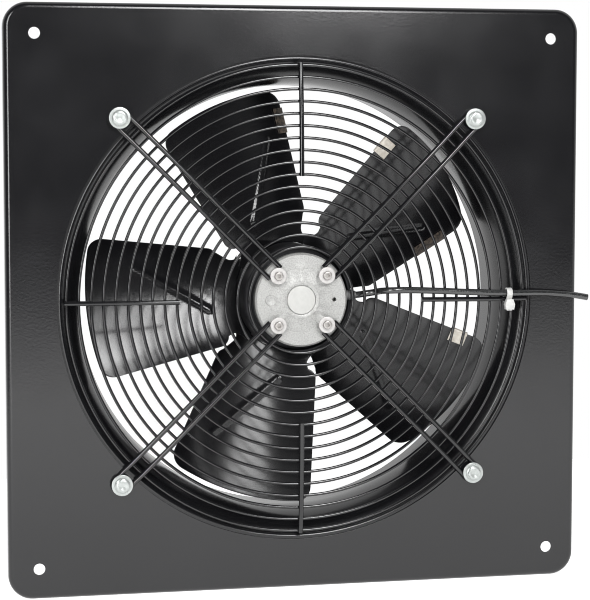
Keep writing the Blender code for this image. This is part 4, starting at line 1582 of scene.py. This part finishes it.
    def flare(self, radius: float, leading: bool) -> float:
        """Return how much one half of the neck has spread at a radius, on its way to the rotor.

        Args:
            radius: distance from the axis.
            leading: whether it is the leading half.

        Returns:
            A factor on the half's angle, 1 where the neck runs straight.
        """
        near = min(1.0, max(0.0, 1 - (radius - self.neck_bottom) / self.neck_round))
        spread = self.leading_spread if leading else self.trailing_spread
        return 1 + (spread - 1) * (1 - math.sqrt(1 - near * near))

    def blade(self) -> Piece:
        """Press the blade: a rounded trapezium with a bead, and a radial neck bent along the rotor.

        Returns:
            The blade, as the first of the five stands.
        """
        axes = self.axes(0)
        root_width = self.leading(self.root_line) - self.trailing(self.root_line)
        tip_width = self.leading(self.tip_radius) - self.trailing(self.tip_radius)

        def place(column: float, row: float) -> Vector:
            """Return the point at two shares of the blade.

            Args:
                column: share of the way from the trailing to the leading edge.
                row: share of the way out.

            Returns:
                The point.
            """
            share = (1 - math.cos(math.pi * column)) / 2
            side = min(share, 1 - share)
            low = self.root_line + self.corner_drop(side * root_width, self.root_corner)
            high = self.tip_radius
            for _ in range(4):
                high = math.sqrt(self.tip_radius**2 - self.across(share, high) ** 2)
            high -= self.corner_drop(side * tip_width, self.tip_corner)
            v = low + (high - low) * row
            return self.surface(self.across(share, v), v, axes)

        def in_neck(spot: Vector) -> bool:
            """Say whether a vertex of the root runs on into the neck.

            Args:
                spot: the vertex.

            Returns:
                Whether it does.
            """
            out = spot.dot(axes[1])
            angle = math.degrees(math.atan2(spot.dot(axes[0]), out))
            at_root = out < self.root_line + self.root_corner / 2
            return at_root and -self.neck_trailing_angle <= angle <= self.neck_leading_angle

        def nearer(rows_left: int) -> Callable[[Vector], Vector]:
            """Return the move of the neck's end one row towards the rotor.

            Args:
                rows_left: how many rows the neck still has.

            Returns:
                The move of a vertex.
            """

            def place_row(spot: Vector) -> Vector:
                """Return a vertex's place one row on.

                Args:
                    spot: its place.

                Returns:
                    The new place.
                """
                across, out = spot.dot(axes[0]), spot.dot(axes[1])
                radius = math.hypot(across, out)
                inner = radius + (self.foot_radius - radius) / rows_left
                angle = math.atan2(across, out)
                angle *= self.flare(inner, angle > 0) / self.flare(radius, angle > 0)
                return self.surface(inner * math.sin(angle), inner * math.cos(angle), axes)

            return place_row

        def foot_end(spot: Vector) -> Vector:
            """Return the end of the foot behind a vertex of the bend."""
            return Vector((spot.x, min(spot.y + self.foot_width, self.foot_limit), spot.z))

        blade = strip("blade_pattern", self.columns, self.rows, place)
        with editing(blade, Picks.EDGES):
            pick(
                blade, Picks.EDGES,
                lambda edge: edge.is_boundary and all(in_neck(vert.co) for vert in edge.verts),
            )
            for row in range(self.neck_rows):
                bpy.ops.mesh.extrude_region_move()
                move_verts(blade, nearer(self.neck_rows - row), chosen=True)
            bpy.ops.mesh.extrude_region_move()
            move_verts(blade, foot_end, chosen=True)
        thicken(blade, self.sheet)
        return soften(blade, self.edge_round, SHEET_ROUND_ANGLE)

    def clip(self, label: int, spot: ClipSpot) -> Piece:
        """Fold one clip over a blade edge.

        Args:
            label: the clip's number.
            spot: where it sits.

        Returns:
            The clip.
        """
        axes = self.axes(spot.blade)
        edge_of = self.leading if spot.side is Side.LEADING else self.trailing
        v = self.tip_radius - spot.from_tip
        half = spot.length / 2
        places = (v, v + half, v - half)
        point, outer, nearer = [self.surface(edge_of(out), out, axes) for out in places]
        along = (outer - nearer).normalized()
        inner = self.surface(edge_of(v) - spot.side.value * self.clip_reach, v, axes) - point
        inner = (inner - along * inner.dot(along)).normalized()
        normal = along.cross(inner)
        lift = self.sheet / 2 + self.clip_gap + self.clip_sheet / 2
        fold = lift * self.clip_fold
        back = fold - self.clip_gap - self.clip_sheet / 2
        leaf = [(self.clip_reach, lift), (self.clip_reach * self.clip_straight, lift)]
        bend = arc((0.0, 0.0), 1.0, 90.0, 270.0, self.clip_steps)
        path = leaf + [(back + x * fold, y * lift) for x, y in bend]
        path += [(reach, -height) for reach, height in reversed(leaf)]

        def place(column: float, row: float) -> Vector:
            """Return the point at two shares of the clip's strip."""
            reach, height = path[round(row * (len(path) - 1))]
            return point + along * (spot.length * (column - 0.5)) + inner * reach + normal * height

        clip = strip(f"folded_balance_clip_{label}", self.clip_columns, len(path) - 1, place)
        thicken(clip, self.clip_sheet)
        return soften(clip, self.clip_sheet / 4, SHEET_ROUND_ANGLE)


@dataclass
class SupplyCable:
    """The flex from the motor, its grommet, and the tie that holds it to the right-hand spoke."""

    guard: WireGuard
    diameter: float = 0.0054
    route: tuple[tuple[float, float, float], ...] = (
        (0.0386, -0.0004, 0.0030), (0.0450, -0.0003, 0.0030), (0.0512, 0.0006, 0.0033),
        (0.0568, 0.00165, 0.0039), (0.0620, 0.00075, 0.0047), (0.0661, -0.0022, 0.0057),
        (0.0687, -0.00636, 0.0065), (0.0713, -0.0105, 0.0070), (0.0754, -0.01345, 0.0073),
        (0.0806, -0.01445, 0.0074), (0.0865, -0.0141, 0.0074), (0.0970, -0.0127, 0.0071),
        (0.1100, -0.0116, 0.0065), (0.1240, -0.0110, 0.0058), (0.1380, -0.0108, 0.0050),
        (0.1530, -0.0103, 0.0043), (0.1680, -0.0095, 0.0036), (0.1800, -0.0086, 0.0032),
        (0.1950, -0.0068, 0.0030), (0.2080, -0.0050, 0.0028), (0.2190, -0.0039, 0.0022),
        (0.2300, -0.0034, 0.0012), (0.2400, -0.0033, 0.0000), (0.2514, -0.0034, -0.0020),
    )
    length: float = 0.221
    steps: int = 6
    tie_width: float = 0.0048
    tie_sheet: float = 0.0012
    tie_clearance: float = 0.0006
    tie_place: float = 0.179
    head_top: float = 0.0056
    head_width: float = 0.0086
    head_foot: float = 0.0070
    head_height: float = 0.0087
    head_depth: float = 0.0050
    head_sink: float = 0.0008
    tail: float = 0.0010
    head_round_angle: float = 25.0
    strap_steps: int = 16
    flex_rounds: int = 6
    grommet_ribs: int = 4
    grommet_facets: int = 40
    rib_depth: float = 0.0004
    barrel_end: float = 0.46
    ribs_start: float = 0.48
    ribs_length: float = 0.5
    taper: float = 0.14
    rib_floor: float = 0.35
    rib_rise: float = 0.5
    rib_crest: float = 0.9

    def build(self) -> None:
        """Build the cable first, then its grommet and its tie."""
        self.flex()
        fit(self.grommet(), Body.FRAME, GREY_RUBBER, "cable_grommet")
        fit(self.tie(), Body.FRAME, NYLON, "cable_tie")

    def line(self) -> list[Vector]:
        """Return points of the natural cubic spline through the route.

        Returns:
            The points.
        """
        route = np.array(self.route)
        spans = np.linalg.norm(np.diff(route, axis=0), axis=1)
        count = len(route)
        balance = np.eye(count)
        load = np.zeros_like(route)
        for index in range(1, count - 1):
            before, after = spans[index - 1], spans[index]
            balance[index, index - 1: index + 2] = before, 2 * (before + after), after
            slopes = np.diff(route[index - 1: index + 2], axis=0) / [[before], [after]]
            load[index] = 6 * (slopes[1] - slopes[0])
        bends = np.linalg.solve(balance, load)
        points = []
        for index, span in enumerate(spans):
            for step in range(self.steps):
                b = step / self.steps
                a = 1 - b
                sag = span**2 / 6 * ((a**3 - a) * bends[index] + (b**3 - b) * bends[index + 1])
                points.append(Vector(a * route[index] + b * route[index + 1] + sag))
        points.append(Vector(route[-1]))
        return points

    def flex(self) -> None:
        cable = lay_line("rubber_supply_flex", self.line(), self.diameter / 2, self.flex_rounds)
        fit(cable, Body.FRAME, RUBBER, "supply_cable")
        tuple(self.route[0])

    def grommet(self) -> Piece:
        """Turn the tapered, ribbed grommet and lay it along x.

        Returns:
            The grommet.
        """
        low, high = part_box("cable_grommet")
        middle = (low + high) / 2
        outer = (high.z - low.z) / 2
        bore = self.diameter / 2 + self.rib_depth / 2
        span = high.x - low.x
        profile = [(bore, 0.0), (outer, 0.0), (outer, span * self.barrel_end)]
        taper = outer * self.taper
        rib = span * self.ribs_length / self.grommet_ribs
        for number in range(self.grommet_ribs):
            start = span * self.ribs_start + rib * number
            crest = outer - taper * (number + 1) / self.grommet_ribs
            profile += [
                (crest - self.rib_depth, start),
                (crest - self.rib_depth, start + rib * self.rib_floor),
                (crest, start + rib * self.rib_rise),
                (crest, start + rib * self.rib_crest),
            ]
        profile += [(outer - taper - self.rib_depth, span), (bore, span)]
        grommet = turn("ribbed_cable_grommet", profile, self.grommet_facets, closed=True)
        grommet.rotation_euler = (0.0, 0.0, -math.pi / 2)
        grommet.location = (low.x, middle.y, middle.z)
        settle(grommet, "ribbed_cable_grommet")
        return soften(grommet, self.rib_depth / 4)

    def spoke_half(self) -> float:
        """Return half the spoke's thickness over the corners of its six-sided CAD section."""
        return self.guard.leg_wire / 2 / math.cos(math.pi / HEXAGON)

    def strap(self, growth: float) -> list[Vector]:
        """Return the outline round the cable and the spoke in (y, z), grown by a margin.

        Args:
            growth: the margin.

        Returns:
            The outline's corners.
        """
        cable = min(self.line(), key=lambda point: abs(point.x - self.tie_place))
        spoke = heading(self.guard.spoke_angles[-1]) * self.tie_place
        first = Vector((cable.y, cable.z))
        second = Vector((self.guard.depth(self.tie_place), spoke.z))
        radii = (self.diameter / 2, self.spoke_half())
        toward = math.atan2(second.y - first.y, second.x - first.x)
        open_angle = math.acos((radii[0] - radii[1]) / (second - first).length)
        points = []
        for centre, radius, begin, end in (
            (first, radii[0], toward + open_angle, toward + 2 * math.pi - open_angle),
            (second, radii[1], toward - open_angle, toward + open_angle),
        ):
            for share in shares(self.strap_steps):
                angle = begin + (end - begin) * share
                points.append(centre + Vector((math.cos(angle), math.sin(angle))) * (radius + growth))
        return points

    def tie_head(self) -> list[Piece]:
        """Make the six-sided head in front of the spoke, and the cut end of the strap below it.

        Returns:
            The head and the cut end.
        """
        depth = self.guard.depth(self.tie_place)
        strap_front = depth - self.spoke_half() - self.tie_clearance - self.tie_sheet
        rear = strap_front + self.head_sink
        front = rear - self.head_depth
        top = (heading(self.guard.spoke_angles[-1]) * self.tie_place).z
        middle = top - self.head_height / 2
        bottom = top - self.head_height
        levels = ((self.head_foot, bottom), (self.head_width, middle), (self.head_top, top))
        right = [(self.tie_place + width / 2, level) for width, level in levels]
        left = [(self.tie_place - width / 2, level) for width, level in levels]
        head = prism("head", left[:1] + right + left[:0:-1], front, rear)
        round_edges(head, self.tie_sheet / 6, self.head_round_angle)
        size = Vector((self.tie_width, self.tie_sheet, 2 * self.tail))
        tail = block("tail", size, Vector((self.tie_place, (front + rear) / 2, bottom)))
        round_edges(tail, self.tie_sheet / 4)
        return [head, tail]

    def tie(self) -> Piece:
        """Loop the strap round the cable and the spoke, and set the head in front.

        Returns:
            The tie.
        """
        outline = self.strap(self.tie_clearance + self.tie_sheet / 2)
        outline.append(outline[0])

        def place(column: float, row: float) -> Vector:
            """Return the point at two shares of the strap."""
            point = outline[round(row * (len(outline) - 1))]
            return Vector((self.tie_place + self.tie_width * (column - 0.5), point.x, point.y))

        band = strip("band", 2, len(outline) - 1, place)
        thicken(band, self.tie_sheet)
        round_edges(band, self.tie_sheet / 4, SHEET_ROUND_ANGLE)
        tie = join("moulded_cable_tie", [band, *self.tie_head()])
        smooth(tie)
        return tie


@dataclass(frozen=True)
class Softbox:
    """A rectangular lamp that faces the fan, at degrees right of straight in front and upwards."""

    name: str
    azimuth: float
    elevation: float
    distance: float
    width: float
    height: float
    power: float

    def hang(self) -> None:
        """Hang the lamp."""
        away = bearing(self.azimuth, self.elevation)
        bpy.ops.object.light_add(type="AREA", location=away * self.distance)
        lamp = bpy.context.object
        lamp.name = self.name
        lamp.rotation_euler = look_back(away)
        lamp.data.shape = "RECTANGLE"
        lamp.data.size = self.width
        lamp.data.size_y = self.height
        lamp.data.energy = self.power


SOFTBOXES = (
    Softbox(
        name="key_softbox", azimuth=14.5, elevation=28.1, distance=2.2, width=0.30, height=1.32,
        power=22.5,
    ),
    Softbox(
        name="key_wing", azimuth=7.0, elevation=32.0, distance=2.2, width=0.30, height=1.12,
        power=19.5,
    ),
    Softbox(
        name="left_softbox", azimuth=-36.5, elevation=13.5, distance=2.0, width=0.60, height=1.24,
        power=28.0,
    ),
)


@dataclass
class Studio:
    """Camera, floor, world and lamps, as the photograph was taken: white all round, darker in front."""

    azimuth: float = -12.3148
    elevation: float = 4.4598
    distance: float = 1.6579
    target: tuple[float, float, float] = (-0.0040, 0.0, -0.0004)
    lens: float = 119.73
    front_level: float = 0.08
    back_level: float = 1.05
    front_end: float = -0.35
    back_start: float = 0.25
    back_way: tuple[float, float, float] = (0.26, 0.966, 0.0)
    fill_level: float = 0.12
    floor_lift: float = 0.85
    floor_mirror_lift: float = 1.0
    floor_size: tuple[float, float] = (10.6, 3.6)
    floor_behind: float = 0.6
    floor_right: float = 9.0
    floor_colour: str = "#f4f4f4"
    floor_roughness: float = 0.9
    pixel_filter: float = 1.0

    def build(self) -> None:
        """Set up everything that isn't the object."""
        bpy.context.scene.view_settings.view_transform = "Standard"
        bpy.context.scene.cycles.filter_width = self.pixel_filter
        self.camera()
        self.world()
        self.floor()
        for softbox in SOFTBOXES:
            softbox.hang()

    def camera(self) -> None:
        """Stand the camera where the photograph was taken from."""
        away = bearing(self.azimuth, self.elevation)
        bpy.ops.object.camera_add(location=Vector(self.target) + away * self.distance)
        camera = bpy.context.object
        camera.name = "photo_camera"
        camera.rotation_euler = look_back(away)
        camera.data.lens = self.lens
        bpy.context.scene.camera = camera

    def world(self) -> None:
        """Make the room: white to the camera, dark in front in reflections, and an even fill."""
        world = bpy.data.worlds.new("white_room")
        bpy.context.scene.world = world
        world.use_nodes = True
        tree = world.node_tree
        background = tree.nodes["Background"]
        ray = add_node(tree, "ShaderNodeLightPath", {})
        way = add_node(tree, "ShaderNodeTexCoord", {}).outputs["Generated"]
        depth = add_node(
            tree, "ShaderNodeVectorMath", {0: way, 1: self.back_way}, operation="DOT_PRODUCT"
        ).outputs["Value"]
        room = add_node(
            tree, "ShaderNodeMapRange",
            {
                "Value": depth,
                "From Min": self.front_end,
                "From Max": self.back_start,
                "To Min": self.front_level,
                "To Max": self.back_level,
            },
            interpolation_type="SMOOTHSTEP",
        )
        mirrored = add_node(
            tree, "ShaderNodeMix",
            {
                MIX_SHARE: ray.outputs["Is Glossy Ray"],
                MIX_LOW: self.fill_level,
                MIX_HIGH: room.outputs["Result"],
            },
        )
        seen = add_node(
            tree, "ShaderNodeMath",
            {0: ray.outputs["Is Camera Ray"], 1: ray.outputs["Is Transmission Ray"]},
            operation="MAXIMUM",
        )
        strength = add_node(
            tree, "ShaderNodeMix",
            {MIX_SHARE: seen.outputs[0], MIX_LOW: mirrored.outputs[0], MIX_HIGH: 1.0},
        )
        background.inputs["Color"].default_value = WHITE
        tree.links.new(strength.outputs[0], background.inputs["Strength"])

    def floor(self) -> None:
        """Lay a white floor that keeps the fan's shadow."""
        low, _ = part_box("wall_plate")
        width, length = self.floor_size
        bpy.ops.object.select_all(action="DESELECT")
        middle = (self.floor_right - width / 2, self.floor_behind - length / 2, low.z)
        bpy.ops.mesh.primitive_plane_add(size=1.0, location=middle)
        bpy.context.object.scale = (width, length, 1.0)
        floor = settle(bpy.context.object, "studio_floor")
        material = bpy.data.materials.new("white_paper_floor")
        material.use_nodes = True
        tree = material.node_tree
        shader = tree.nodes["Principled BSDF"]
        shader.inputs["Base Color"].default_value = linear(self.floor_colour)
        shader.inputs["Roughness"].default_value = self.floor_roughness
        shader.inputs["Emission Color"].default_value = WHITE
        ray = add_node(tree, "ShaderNodeLightPath", {})
        seen = add_node(
            tree, "ShaderNodeMath",
            {0: ray.outputs["Is Camera Ray"], 1: self.floor_lift}, operation="MULTIPLY",
        )
        lift = add_node(
            tree, "ShaderNodeMath",
            {0: ray.outputs["Is Glossy Ray"], 1: self.floor_mirror_lift, 2: seen.outputs[0]},
            operation="MULTIPLY_ADD",
        )
        tree.links.new(lift.outputs[0], shader.inputs["Emission Strength"])
        floor.data.materials.append(material)


def main() -> None:
    """Load the frame, then build the studio and every sub-assembly in order."""
    logging.basicConfig(level=logging.INFO, format="%(message)s")
    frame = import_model()
    nodes = frame["nodes"]
    Studio().build()
    guard = WireGuard()
    SupplyCable(guard).build()
    WallPlate().build()
    guard.build()
    GuardFasteners().build()
    MotorFront().build()
    Impeller().build()
    rings = ("outer_ring", "inner_ring", "ball_set")
    races = [f"{end}_bearing_{part}" for end in ("front", "rear") for part in rings]
    dress(nodes, STEEL, *races, "bearing_spring", "shaft", "shaft_circlip")
    dress(nodes, LAMINATION, "stator_core", "rotor_cage")
    dress(nodes, COPPER, "stator_winding")


if __name__ == "__main__":
    main()
